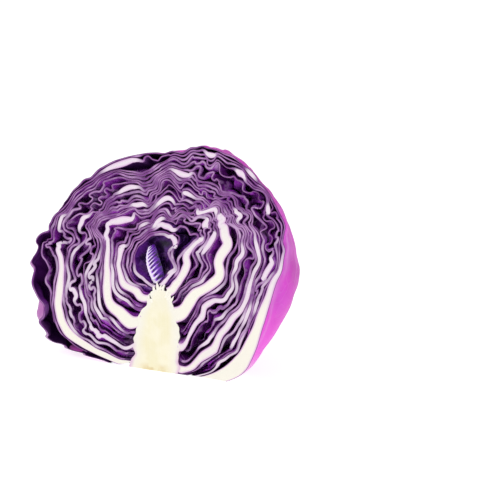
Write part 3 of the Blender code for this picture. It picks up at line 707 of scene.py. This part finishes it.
def leaf_arrays(index):
    """Points, triangles and attributes: how deep a point lies in the flesh of the cut, how thick the leaf and its
    rib are there in mm, and whether it is on the outer face. Everything stays above the base and behind the cut,
    where each row starts a hair further back than the one before it, and the corners of the cut are worn."""
    has_veins = index > len(LEAVES) - 3
    rows, skips = (OUTER_ROWS, OUTER_SKIPS) if has_veins else (INNER_ROWS, INNER_SKIPS)
    columns = len(STATIONS)
    faces, thicks, rib_parts, fans = [], [], [], []
    for side in (0, 1):
        spread, is_margin = rows_of(index, side, rows)
        points, thick, ribs = leaf_sheet(index, side, np.broadcast_to(np.arange(columns), spread.shape), spread)
        if has_veins:
            points, fan = with_relief(index, side, spread, points, ribs)
            fans.append(fan)
        points[..., 2] = np.maximum(points[..., 2], 0 if side and index == len(LEAVES) - 1 else 0.0006)
        points[..., 1] = np.maximum(points[..., 1], np.arange(len(rows))[:, None] * 0.00002)
        faces.append(points), thicks.append(thick), rib_parts.append(ribs)
    cut = ~is_margin
    share = (STRIP[:, None, None] + 1) / 2
    strip = faces[0][0] * (1 - share) + faces[1][0] * share
    wear = WORN * np.where(cut & (abs(STATIONS) <= 1), 1, 0)
    for face in faces:
        face[0, :, 1] += wear
        face[1, :, 1] += wear * 0.5
    strip[:, :, 1] += wear * 0.35 * abs(STRIP[:, None]) ** 6
    edge_thick = (thicks[0][0] + thicks[1][0]) / 2
    depth = (1 - abs(STRIP[:, None])) * edge_thick / 2 * cut
    blocks = [faces[0].reshape(-1, 3), faces[1].reshape(-1, 3), strip.reshape(-1, 3)]
    middle = [face[-1].mean(axis=0) for face in faces]
    points = np.concatenate(blocks + [np.array(middle)])
    zeros = np.zeros(2 * len(rows) * columns)
    middle_of_edge = np.tile(rib_parts[0][0], 3)
    attributes = {
        "flesh_depth": np.concatenate([zeros, depth.ravel(), [0, 0]]),
        "thickness": np.concatenate([thicks[0].ravel(), thicks[1].ravel(), np.tile(edge_thick, 3), [1, 1]]),
        "rib": np.concatenate([rib_parts[0].ravel(), rib_parts[1].ravel(), middle_of_edge, [0, 0]]),
        "outer_face": np.concatenate([zeros[::2], zeros[::2] + 1, np.repeat([0.2, 0.5, 0.8], columns), [0, 1]]),
    }
    if LEAVES[index][0] == "wrapper_leaf_3":  # coloured only where the outermost leaf leaves it bare
        covered = np.tile(smooth_step(STATIONS, -0.4, -0.25), len(rows))
        attributes["outer_face"][len(covered):2 * len(covered)] *= 1 - covered
    for key, number in (("away", 0), ("turn", 1)) if fans else ():
        edges = [np.tile(fans[0][number][0], 3), [fan[number][-1].mean() for fan in fans]]
        attributes[key] = np.concatenate([fans[0][number].ravel(), fans[1][number].ravel(), *edges])
    points = points + [AXIS_X, CUT_Y, 0]
    return points, leaf_triangles(skips, columns), attributes


print("an inner leaf has", len(leaf_triangles(INNER_SKIPS, len(STATIONS))), "triangles")

# %% [markdown]
# ## The core and its growing tip
# The core is the cabbage's stem. The knife has split it, so it is half a turned shape with a flat front. A profile
# could be spun round half a turn, but that leaves the front as one face without points. So the core is made as
# rings of points, each going across the front and back round behind, and the front can carry the change from cream
# in the middle to white at the rim. It stands a hair in front of the cut leaves and hides the ends of their ribs,
# which run into it. The shoots on its tip are leaves that have only just begun.

# %% The core
CORE_ROWS, FRONT_COLUMNS, ROUND_COLUMNS = 72, 28, 28
PROUD = 0.00006  # how far the front stands before the cut leaves, in metres
JOINT_WIDER, JOINT_UNEVEN = 0.0007, 0.0007  # the ribs join the core in flesh that reaches this much further
BLUNT_HEIGHTS, BLUNT_RADII = (0.0445, 0.0462, 0.0474, 0.0480), (0.0069, 0.0062, 0.0046, 0.0012)


def ring_mesh_triangles(rows, columns):
    """Triangles between closed rings of equal size, and fans to one more point at each end."""
    grid = np.arange(rows * columns).reshape(rows, columns)
    made = [between_rows(a, b) for a, b in zip(grid, grid[1:])]
    low, high = grid[0], grid[-1]
    made.append(np.stack([np.roll(low, -1), low, np.full_like(low, rows * columns)], 1))
    made.append(np.stack([high, np.roll(high, -1), np.full_like(high, rows * columns + 1)], 1))
    return np.concatenate(made)


def core_arrays():
    """Rings: across the flat front and back round a half circle whose radius follows the core's profile. At both
    edges of the front the radius is a little more and uneven, where the flesh of the ribs joins the core's."""
    height = BLUNT_HEIGHTS[-1] * np.sin(np.linspace(0, np.pi / 2, CORE_ROWS))[:, None]
    smooth = np.mean([core_radius(height + k * 0.001) for k in (-2, -1, 0, 1, 2)], axis=0)
    radius = np.where(height < BLUNT_HEIGHTS[0], smooth, np.interp(height, BLUNT_HEIGHTS, BLUNT_RADII))
    front = np.linspace(-1, 1, FRONT_COLUMNS)
    turn = np.linspace(0, np.pi, ROUND_COLUMNS + 2)[1:-1]
    hand = np.sign(np.concatenate([front, np.cos(turn)]))
    along_side = np.stack([0.05 * hand + 0 * height, 0 * (hand + height), height + 0 * hand], -1)
    joint = ripple(along_side, 78, 5, 12, count=5)
    edge = np.concatenate([abs(front), abs(np.cos(turn))]) ** 2
    radius = radius + (JOINT_WIDER + JOINT_UNEVEN * joint) * edge * smooth_step(-height, -0.044, -0.036)
    x = radius * np.concatenate([front, np.cos(turn)])
    y = radius * np.concatenate([np.zeros_like(front), np.sin(turn)])
    rough = 0.00012 * ripple(np.stack([x, y, height + 0 * x], -1), 77, 3, 9)
    y[:, :FRONT_COLUMNS] += -PROUD + np.maximum(rough[:, :FRONT_COLUMNS], 0) * 0.4
    points = np.stack([x, y, height + 0 * x], -1)
    rim = np.concatenate([abs(front), np.ones(ROUND_COLUMNS)]) + 0 * x
    ends = np.array([[0, CORE_RADII[0] / 3, 0], [0, BLUNT_RADII[-1] / 3, BLUNT_HEIGHTS[-1] + 0.0001]])
    points = np.concatenate([points.reshape(-1, 3), ends]) + [AXIS_X, CUT_Y, 0]
    return points, ring_mesh_triangles(*x.shape), {"rim": np.concatenate([rim.ravel(), [0.5, 0.5]])}


print("core:", CORE_ROWS, "rings of", FRONT_COLUMNS + ROUND_COLUMNS, "points")

# %% The scar round the foot of the core, where the lowest leaves have been pulled off
SCAR_REACH, SCAR_THICK, SCAR_LOW = 0.034, 0.0008, 0.0001


def scar_arrays():
    """A thin closed plate; its edge runs from the cut face on the right round the back to the core on the left."""
    turn = np.linspace(0, np.pi, 60)
    reach = CORE_RADII[0] - 0.001 + (SCAR_REACH - CORE_RADII[0]) * smooth_step(-turn, -np.pi, -1.7)
    reach = reach * (1 - 0.35 * (1 - smooth_step(turn, 0, 0.5)))
    rim = np.stack([reach * np.cos(turn), np.maximum(reach * np.sin(turn), 0.0003)], -1)
    rings = [np.concatenate([rim * part, np.full((len(rim), 1), height)], -1)
             for part, height in ((0.99, SCAR_LOW), (1, SCAR_LOW + SCAR_THICK / 2), (0.98, SCAR_LOW + SCAR_THICK))]
    ends = np.array([[0, 0.005, SCAR_LOW], [0, 0.005, SCAR_LOW + SCAR_THICK]])
    points = np.concatenate([np.concatenate(rings), ends]) + [AXIS_X, CUT_Y, 0]
    return points, ring_mesh_triangles(3, len(rim)), {}


# %% The shoots on the tip: short, tapering, bent tubes
SHOOT_COUNT, SHOOT_ROWS, SHOOT_SIDES = 10, 16, 12


def shoot_arrays():
    """Each shoot is rings round a line that leaves the tip of the core upwards and bends outwards."""
    draw = np.random.default_rng(3)
    points, triangles, pale = [], [], []
    for k in range(SHOOT_COUNT):
        side = -1 + 2 * k / (SHOOT_COUNT - 1)
        along = np.linspace(0, 1, SHOOT_ROWS)[:, None]
        foot = np.array([side * 0.0066 + draw.normal(0, 0.0006), draw.uniform(0, 0.0003), 0])
        foot[2] = 0.0464 - 0.0060 * side**2 - draw.uniform(0, 0.0008)
        length, width = draw.uniform(0.0022, 0.0075), draw.uniform(0.0009, 0.0017)
        lean = side * 0.30 + draw.normal(0, 0.22)
        line = foot + length * along * np.array([0, 0, 1]) + length * along**1.5 * np.array([lean, 0.03, 0])
        turn = np.linspace(0, 2 * np.pi, SHOOT_SIDES, endpoint=False)
        thick = width * (1 - along**3) ** 0.5 * (1 - 0.35 * along) * (1 + 0.12 * np.sin(9 * along + k))
        ring = line[:, None] + thick[..., None] * np.stack([np.cos(turn), 0.6 * np.sin(turn), 0 * turn], -1)
        ring[..., 1] = np.maximum(ring[..., 1], -PROUD * 0.8)
        start = sum(len(part) for part in points)
        points.append(np.concatenate([ring.reshape(-1, 3), line[[0, -1]]]))
        triangles.append(ring_mesh_triangles(SHOOT_ROWS, SHOOT_SIDES) + start)
        pale.append(np.concatenate([np.repeat(along.ravel(), SHOOT_SIDES), [0, 1]]))
    return np.concatenate(points) + [AXIS_X, CUT_Y, 0], np.concatenate(triangles), {"along": np.concatenate(pale)}


# %% [markdown]
# ## The young leaf in the heart
# The innermost leaf is still small, blue-violet and crinkled, with white veins like a herring's bones. The bones
# could be modelled one by one and joined to a plain leaf, but a real vein swells out of the leaf itself. So the leaf
# is a scoop on a grid of two numbers, one along its midrib and one across, thickened to a closed sheet, and its
# veins are ridges in the shape and pale lines in the finish, both from the same wave.

# %% The young leaf
YOUNG_ROWS, YOUNG_COLUMNS, YOUNG_THICK, YOUNG_VEINS = 130, 48, 0.00045, 12


def closed_sheet(middle, thickness, attributes):
    """A grid of points with a front and a back half the thickness away along the normal, joined round the rim."""
    normal = unit(np.cross(np.gradient(middle, axis=0), np.gradient(middle, axis=1)))
    rows, columns = middle.shape[:2]
    sides = [middle + normal * thickness / 2, middle - normal * thickness / 2]
    grid = np.arange(rows * columns).reshape(rows, columns)
    a, b, c, d = grid[:-1, :-1].ravel(), grid[1:, :-1].ravel(), grid[1:, 1:].ravel(), grid[:-1, 1:].ravel()
    front = np.concatenate([np.stack([a, b, c], 1), np.stack([a, c, d], 1)])
    rim = np.concatenate([grid[:, 0], grid[-1, 1:], grid[-2::-1, -1], grid[0, -2:0:-1]])
    edge = between_rows(rim, rim + rows * columns)[:, ::-1]
    points = np.concatenate([side.reshape(-1, 3) for side in sides])
    values = {key: np.tile(value.ravel(), 2) for key, value in attributes.items()}
    return points, np.concatenate([front, front[:, ::-1] + rows * columns, edge]), values


def young_leaf_arrays():
    """Spine + across times the direction of the veins, up and to the right; the right side is wide, the left
    narrow. The spine leaves the tip of the core and bows to the left, and cosine ridges run along the veins."""
    along, across = np.meshgrid(np.linspace(0.0, 1, YOUNG_ROWS), np.linspace(-1, 1, YOUNG_COLUMNS), indexing="ij")
    full = np.sin(np.pi * (0.08 + 0.89 * along)) ** 0.6
    reach = np.where(across > 0, 0.0066, 0.0030) * full * across
    x = -0.0012 - 0.0106 * np.sin(0.66 * np.pi * along) ** 0.9 + 0.72 * reach
    y = 0.0030 + np.where(across > 0, 0.0030, 0.0042) * across**2 - 0.0012 * (1 - full)
    z = 0.0462 + 0.0250 * along + 0.95 * abs(reach)
    wave = np.cos(2 * np.pi * (YOUNG_VEINS * along + 0.12 * abs(across) + 0.05 * np.sin(11 * along)))
    ridge = np.maximum(wave, 0) ** 1.4 * smooth_step(abs(across), 0.03, 0.12)
    ridge = ridge * (1 - 0.8 * smooth_step(abs(across), 0.4, 1))
    midrib = bell(across, 0, 0.13 + 0.25 * (1 - along) ** 3)
    y = y - 0.0005 * ridge - 0.0009 * midrib * (1 - 0.6 * along)
    middle = np.stack([x, np.maximum(y, 0.0004), z], -1) + [AXIS_X, CUT_Y, 0]
    vein = np.clip(ridge * np.where(across > 0, 1, 0.45) + 1.3 * midrib, 0, 1)
    return closed_sheet(middle, YOUNG_THICK, {"vein": vein})


# %% [markdown]
# ## Shader maths
# Every finish below is worked out from numbers on the surface: how deep a point lies in the flesh of the cut, how
# thick the leaf is there, how high it stands. The nodes for such sums could be added and wired up one by one.
# Written as maths they are easier to read, so a small class wraps a socket and turns Python's operators into Math
# nodes.

# %% A socket that can be added to, multiplied and taken away from
class Value:
    """A shader socket; Python's operators on it add Math nodes."""

    def __init__(self, tree, socket):
        self.tree, self.socket = tree, socket

    def node(self, kind, settings=None, inputs=None, output=0):
        """A new node in the same tree: its settings first, then links, numbers or colours for its sockets."""
        return add_node(self.tree, kind, settings, inputs, output)

    def math(self, operation, *others):
        """A Math node on this socket and others."""
        return self.node("ShaderNodeMath", {"operation": operation}, dict(enumerate((self, *others))))

    def rise(self, low, high):
        """0 below low, 1 above high, and smooth between them."""
        return self.node("ShaderNodeMapRange", {"interpolation_type": "SMOOTHSTEP"}, {0: self, 1: low, 2: high})

    def __add__(self, other):
        return self.math("ADD", other)

    def __mul__(self, other):
        return self.math("MULTIPLY", other)

    def __sub__(self, other):
        return self.math("SUBTRACT", other)

    def __rsub__(self, other):
        return self.node("ShaderNodeMath", {"operation": "SUBTRACT"}, {0: other, 1: self})

    def __abs__(self):
        return self.math("ABSOLUTE")

    __radd__, __rmul__ = __add__, __mul__


def srgb(digits):
    """A colour's six digits, as seen on a screen, as the light that the shader works in."""
    channel = np.array([int(digits[k:k + 2], 16) / 255 for k in (0, 2, 4)])
    light = np.where(channel <= 0.04045, channel / 12.92, ((channel + 0.055) / 1.055) ** 2.4)
    return (*(float(c) for c in light), 1.0)


def add_node(tree, kind, settings=None, inputs=None, output=0):
    """The node itself, for a tree that has none yet; a text among the inputs is a colour's six digits."""
    node = tree.nodes.new(kind)
    for key, value in (settings or {}).items():
        setattr(node, key, value)
    for key, value in (inputs or {}).items():
        if isinstance(value, Value):
            tree.links.new(value.socket, node.inputs[key])
        else:
            node.inputs[key].default_value = srgb(value) if isinstance(value, str) else value
    return Value(tree, node.outputs[output])


# %% The few kinds of node that the finishes share
def mix(factor, first, second):
    """The first colour where the factor is 0, the second where it is 1."""
    return factor.node("ShaderNodeMix", {"data_type": "RGBA"}, {0: factor, 6: first, 7: second}, output=2)


def noise(place, scale, detail):
    """Clouds of values round 0.5; their size is about 1 / scale in metres."""
    return place.node("ShaderNodeTexNoise", inputs={"Vector": place, "Scale": scale, "Detail": detail})


def coordinate(place, axis):
    """One number of a place: 0 across, 1 behind, 2 up."""
    return place.node("ShaderNodeSeparateXYZ", inputs={0: place}, output=axis)


def attributes_of(place, *names):
    """The numbers that the mesh carries under these names."""
    return [place.node("ShaderNodeAttribute", {"attribute_name": name}, output=2) for name in names]


def new_finish(name, roughness, specular=0.5):
    """A material, its shader, and the Object coordinates in its tree, in metres."""
    material = bpy.data.materials.new(name)
    material.use_nodes = True
    shader = material.node_tree.nodes["Principled BSDF"]
    shader.inputs["Roughness"].default_value = roughness
    shader.inputs["Specular IOR Level"].default_value = specular
    return material, shader, add_node(material.node_tree, "ShaderNodeTexCoord", output=3)


def feed(shader, socket, value):
    """Link a value to a socket of the shader."""
    value.tree.links.new(value.socket, shader.inputs[socket])


# %% [markdown]
# ## The cut flesh and the skin of the inner leaves
# A red cabbage is purple only in its skin. Where the knife has gone through a leaf there is a dark line along each
# side, then purple, then flesh that is lavender in a thin blade and white in a thick rib. The line could be painted
# along every edge, but the mesh already knows how deep each point lies, so the depth picks the colour and the line
# follows every fold. The skin behind the cut is moist and dark, cloudy, with a net of thin paler veins.

# %% The colour of the cut
def flesh_colour(place):
    """The colour from skin to middle by depth in mm, thickness and rib; also where there is flesh at all."""
    depth, thickness, rib = attributes_of(place, "flesh_depth", "thickness", "rib")
    thin = mix(noise(place, 130, 3).rise(0.34, 0.70), "6a247c", "b186b8")
    inside = mix(thickness.rise(1.4, 2.9), thin, "e0d4de")
    inside = mix(rib.rise(1.0, 5.5), inside, "ece8dc")
    under_skin = mix(depth.rise(0.08, 0.24), "400c48", "803a86")
    blush = mix(depth.rise(0.35, 1.7), "d6aed6", inside)
    inside = mix(thickness.rise(2.0, 4.5), inside, blush)
    return mix(depth.rise(0.18, 0.48), under_skin, inside), depth.rise(0.001, 0.02)


# %% The skin of the inner leaves and of the heart
def leaf_finish(name, dark, light, vein, painted_highlight, roughness, specular):
    """Clouds of dark and light, a line wherever a noise passes its middle value, paler patches that are a painted
    highlight, and paler ribs.
    """
    material, shader, place = new_finish(name, roughness, specular)
    skin = mix(noise(place, 90, 4).rise(0.42, 0.62), dark, light)
    skin = mix((1 - abs(noise(place, 210, 1) - 0.5).rise(0, 0.035)) * 0.35, skin, vein)
    # Painted highlight: pale patches from a noise stand for the light on small bulges of the leaf.
    skin = mix(noise(place, 165, 2).rise(0.54, 0.70) * painted_highlight, skin, "c898d0")
    skin = mix(attributes_of(place, "rib")[0].rise(5, 10) * 0.3, skin, "b78cc4")
    flesh, is_flesh = flesh_colour(place)
    feed(shader, "Base Color", mix(is_flesh, skin, flesh))
    return material


leaf_look = leaf_finish("leaf_purple", "440b54", "9630b0", "b27fc2", 0.5, 0.27, 0.5)
heart_look = leaf_finish("heart_violet", "1c0430", "581c7c", "8048b0", 0.1, 0.40, 0.3)
print("finishes:", leaf_look.name, "with", len(leaf_look.node_tree.nodes), "nodes, and", heart_look.name)

# %% [markdown]
# ## The outside of the head
# The outermost leaves have grown in the light: magenta, dulled by a waxy bloom, brightest low down where the leaf
# is swollen and pale near the thick foot of the rib. Inside they are dark. The bloom could be a second, glossy
# coat, but wax on a cabbage scatters light, so it is mixed into the colour, and the leaf is rougher than the inner
# ones.

# %% Veins as pale lines, from the same fan that raises them in the mesh
def vein_lines(place):
    """1 on a vein, 0 beside it: the three fans, which start further and further out, over a faint net."""
    away, turn = attributes_of(place, "away", "turn")
    lines = (1 - abs(noise(place, 75, 1) - 0.5).rise(0, 0.022)) * 0.25
    for count, start, width, strength in VEIN_FANS:
        part = turn * (count / (2 * np.pi))
        gap = 2 * np.pi / count * VEIN_RADIUS_MM
        off = abs(part - part.math("ROUND")) * gap * away.math("MINIMUM", 1.57).math("SINE")
        lines = lines.math("MAXIMUM", (1 - off.rise(0, width)) * away.rise(start, start + 0.25) * strength)
    return lines


# %% Magenta outside, dark purple inside
def wrapper_finish():
    """Magenta mixed with one more colour for each thing that changes it: clouds of bloom, the back, the foot, the
    far left, the veins and the thick rib."""
    material, shader, place = new_finish("wrapper_magenta", 0.45, 0.3)
    rib, outer = attributes_of(place, "rib", "outer_face")
    cloud, fine, vein = noise(place, 22, 5), noise(place, 40, 5), vein_lines(place)
    across, depth, height = (coordinate(place, axis) for axis in range(3))
    relief = {"Strength": 0.35, "Distance": 0.0006, "Height": vein + fine * 0.5}
    feed(shader, "Normal", place.node("ShaderNodeBump", inputs=relief))
    magenta = mix(fine.rise(0.30, 0.72), "b814aa", "d63aca")
    magenta = mix(cloud.rise(0.50, 0.72) * 0.3, magenta, "a768c8")
    magenta = mix(depth.rise(-0.012, 0.030) * 0.62, magenta, "8a2392")
    magenta = mix((1 - height.rise(0.015, 0.062)) * 0.75, magenta, "f04cdc")
    magenta = mix((1 - across.rise(-0.076, -0.034)) * 0.75, magenta, "9c74a4")
    magenta = mix(vein * 0.24, magenta, "dba0da")
    inner = mix(cloud.rise(0.38, 0.68), "2c083c", "6e2488")
    inner = mix(vein * 0.2, inner, "a060b8")
    skin = mix(outer, inner, magenta)
    skin = mix(rib.rise(9, 17) * 0.8 * outer, skin, "e6d8e2")
    flesh, is_flesh = flesh_colour(place)
    feed(shader, "Base Color", mix(is_flesh, skin, flesh))
    return material


wrapper_look = wrapper_finish()
print("finish:", wrapper_look.name, "with", len(wrapper_look.node_tree.nodes), "nodes")

# %% [markdown]
# ## The core, the shoots, the scar and the young leaf
# The core is cream with faint upright fibres, white towards its rim and its tip, and a little brown where it was
# trimmed. Behind the cut its side is painted the dark purple of the leaves that join it, which also serves as
# painted shade at the ends of the gaps between the ribs. Wood-like fibres could come from a wave texture; a noise
# stretched upwards is softer and never repeats. The small pieces need little more than a change of colour along
# their length or on their veins.

# %% The core
def core_finish():
    """Cream, then in turn: fibres, the brown foot, the white rim and tip, the dark purple side that is also painted
    shade, a pink edge low down.
    """
    material, shader, place = new_finish("core_cream", 0.42)
    rim, = attributes_of(place, "rim")
    behind, height = coordinate(place, 1) - CUT_Y, coordinate(place, 2)
    stretched = place.node("ShaderNodeMapping", inputs={"Vector": place, "Scale": (900, 900, 70)})
    cloud = noise(place, 140, 3)
    colour = mix(cloud.rise(0.3, 0.7), "eae3c1", "efe9d0")
    colour = mix(noise(stretched, 1, 3).rise(0.45, 0.75) * 0.25, colour, "f1edda")
    foot = (1 - height.rise(0.0005, 0.0055)) * (1 - rim.rise(0.25, 0.8))
    colour = mix(foot * cloud.rise(0.35, 0.6) * 0.55, colour, "c9a94f")
    colour = mix(rim.rise(0.45, 0.98) + height.rise(0.030, 0.047) * 0.5, colour, "ebe7db")
    # The side behind the cut: the dark purple of the leaves that join it, and painted shade at the ends of the gaps.
    colour = mix(behind.rise(0.0001, 0.0006) * height.rise(0.0003, 0.001), colour, "4a1458")
    colour = mix(rim.rise(0.82, 1.0) * (1 - height.rise(0.006, 0.02)) * 0.55, colour, "cc84cc")
    feed(shader, "Base Color", colour)
    return material


# %% The small pieces
def scar_finish():
    """Dull purple clouds."""
    material, shader, place = new_finish("scar_purple", 0.6)
    feed(shader, "Base Color", mix(noise(place, 220, 3).rise(0.35, 0.65), "2a0a34", "5c2a66"))
    return material


def shoot_finish():
    """White, and a little purple towards the tip of each shoot."""
    material, shader, place = new_finish("shoot_white", 0.4)
    along, = attributes_of(place, "along")
    feed(shader, "Base Color", mix(along.rise(0.55, 1.0) * 0.35, "f0ecdf", "c9a0d6"))
    return material


def young_leaf_finish():
    """Dark violet clouds, brighter near a vein and nearly white on it."""
    material, shader, place = new_finish("young_leaf_violet", 0.32)
    vein, = attributes_of(place, "vein")
    violet = mix(noise(place, 260, 3).rise(0.38, 0.62), "24063e", "5a1c9c")
    violet = mix(vein.rise(0.05, 0.55), violet, "9a40e2")
    feed(shader, "Base Color", mix(vein.rise(0.45, 0.95), violet, "f2e4fa"))
    return material


# %% [markdown]
# ## Putting the pieces in
# Each leaf stands in for the solid of the same name. The young leaf stands in for the bud. The scar and the shoots
# are extra: both sit on solids that are there. Every piece rides on the one body of the part.

# %% Build all the leaves
triangle_count, pieces = 0, []


def points_of(piece):
    """All the vertices of a piece."""
    values = np.empty(len(piece.data.vertices) * 3, dtype=np.float32)
    piece.data.vertices.foreach_get("co", values)
    return values.reshape(-1, 3)


for index, (name, *_) in enumerate(LEAVES):
    look = heart_look if name.startswith("heart") else wrapper_look if index > len(LEAVES) - 3 else leaf_look
    piece = make_mesh("waved_" + name, *leaf_arrays(index), look)
    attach(piece, "root")
    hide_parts(name)
    triangle_count += len(piece.data.polygons)
    pieces.append(piece)
print("leaves:", triangle_count, "triangles")

# %% Build the core, its shoots and the young leaf
for name, arrays, look, slot, node in (
    ("split_core", core_arrays(), core_finish(), "core", "core"),
    ("foot_scar", scar_arrays(), scar_finish(), "leaf", None),
    ("growing_tip", shoot_arrays(), shoot_finish(), "core", None),
    ("young_leaf", young_leaf_arrays(), young_leaf_finish(), "heart", "heart_bud"),
):
    piece = make_mesh(name, *arrays, look)
    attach(piece, "root")
    if node:
        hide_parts(node)
    pieces.append(piece)
    print(name, len(piece.data.polygons), "triangles")

# %% [markdown]
# ## Floor and light
# The half stands on a plain white table in soft light from a large window at the left, with a weaker one at the
# right. A white floor takes on the magenta of the leaf above it, so this one shines a little by itself and reflects
# less. Area lights give the soft edges, and a white surround fills the folds.

# %% The floor
FLOOR_GREY, FLOOR_GLOW, SURROUND = 0.45, 0.76, 0.72
floor_mesh = bpy.data.meshes.new("floor")
floor_mesh.from_pydata([(-3, -3, 0), (3, -3, 0), (3, 3, 0), (-3, 3, 0)], [], [(0, 1, 2, 3)])
floor = bpy.data.objects.new("floor", floor_mesh)
bpy.context.scene.collection.objects.link(floor)
floor_material, floor_shader, _ = new_finish("floor_white", 0.9)
floor_shader.inputs["Base Color"].default_value = (FLOOR_GREY, FLOOR_GREY, FLOOR_GREY, 1)
floor_shader.inputs["Emission Color"].default_value = (1, 1, 1, 1)
floor_shader.inputs["Emission Strength"].default_value = FLOOR_GLOW
floor_mesh.materials.append(floor_material)

# %% The lights
world = bpy.data.worlds.new("studio")
bpy.context.scene.world = world
world.use_nodes = True
world.node_tree.nodes["Background"].inputs["Color"].default_value = (1, 1, 1, 1)
world.node_tree.nodes["Background"].inputs["Strength"].default_value = SURROUND


def facing(direction):
    """The turn of a lamp or a camera that looks along a direction."""
    return Vector(direction).to_track_quat("-Z", "Y").to_euler()


def add_light(name, energy, size, place):
    """A square lamp that looks at the middle of the head."""
    data = bpy.data.lights.new(name, "AREA")
    data.energy, data.size = energy, size
    light = bpy.data.objects.new(name, data)
    light.location, light.rotation_euler = place, facing(Vector(MIDDLE_OF_HEAD) - Vector(place))
    bpy.context.scene.collection.objects.link(light)
    print("light:", name, energy, "W")


add_light("key", 4.2, 0.6, (-0.5, -0.9, 0.9))
add_light("fill", 2.2, 0.8, (1.0, -0.5, 0.5))

# %% [markdown]
# ## Camera
# The camera looks from the right of the cut face and a little from above. Its lens and its aim could be tried by
# hand until the picture fits; here they are worked out, because a pinhole camera is simple maths: a few rounds of
# measuring the object's box in the picture and correcting lens and aim are enough.

# %% The view
AZIMUTH, ELEVATION, DISTANCE = np.radians(27.5), np.radians(13.4), 1.2
PICTURE = 500
WANTED_BOX = np.array([30.0, 144.0, 300.0, 383.0])  # left, top, right and bottom of the object, in pixels
back = np.array([
    np.sin(AZIMUTH) * np.cos(ELEVATION), -np.cos(AZIMUTH) * np.cos(ELEVATION), np.sin(ELEVATION)
])
right = np.array([np.cos(AZIMUTH), np.sin(AZIMUTH), 0])
up = np.cross(back, right)
camera_data = bpy.data.cameras.new("camera")
camera = bpy.data.objects.new("camera", camera_data)
bpy.context.scene.collection.objects.link(camera)
bpy.context.scene.camera = camera
shown = np.concatenate([points_of(piece) for piece in pieces])

# %% The lens and the aim
FIRST_LENS, ROUNDS = 133.0, 6


def pixel_box(aim, lens):
    """The box in pixels round all points, seen by a camera that looks at aim."""
    away = DISTANCE - (shown - aim) @ back
    scale = lens / camera_data.sensor_width * PICTURE / away
    middle = PICTURE / 2
    x, y = middle + (shown - aim) @ right * scale, middle - (shown - aim) @ up * scale
    return np.array([x.min(), y.min(), x.max(), y.max()])


lens, aim = FIRST_LENS, MIDDLE_OF_HEAD
for _ in range(ROUNDS):
    box = pixel_box(aim, lens)
    lens *= (WANTED_BOX[2] - WANTED_BOX[0]) / (box[2] - box[0])
    off = pixel_box(aim, lens) - WANTED_BOX
    metres = DISTANCE * camera_data.sensor_width / lens / PICTURE
    aim = aim + right * (off[0] + off[2]) / 2 * metres - up * (off[1] + off[3]) / 2 * metres
camera_data.lens = lens
camera.location, camera.rotation_euler = aim + back * DISTANCE, facing(-back)
print("lens", round(lens, 1), "mm; the object spans pixels", np.round(pixel_box(aim, lens), 1).tolist())
bpy.context.scene.view_settings.view_transform = "Standard"
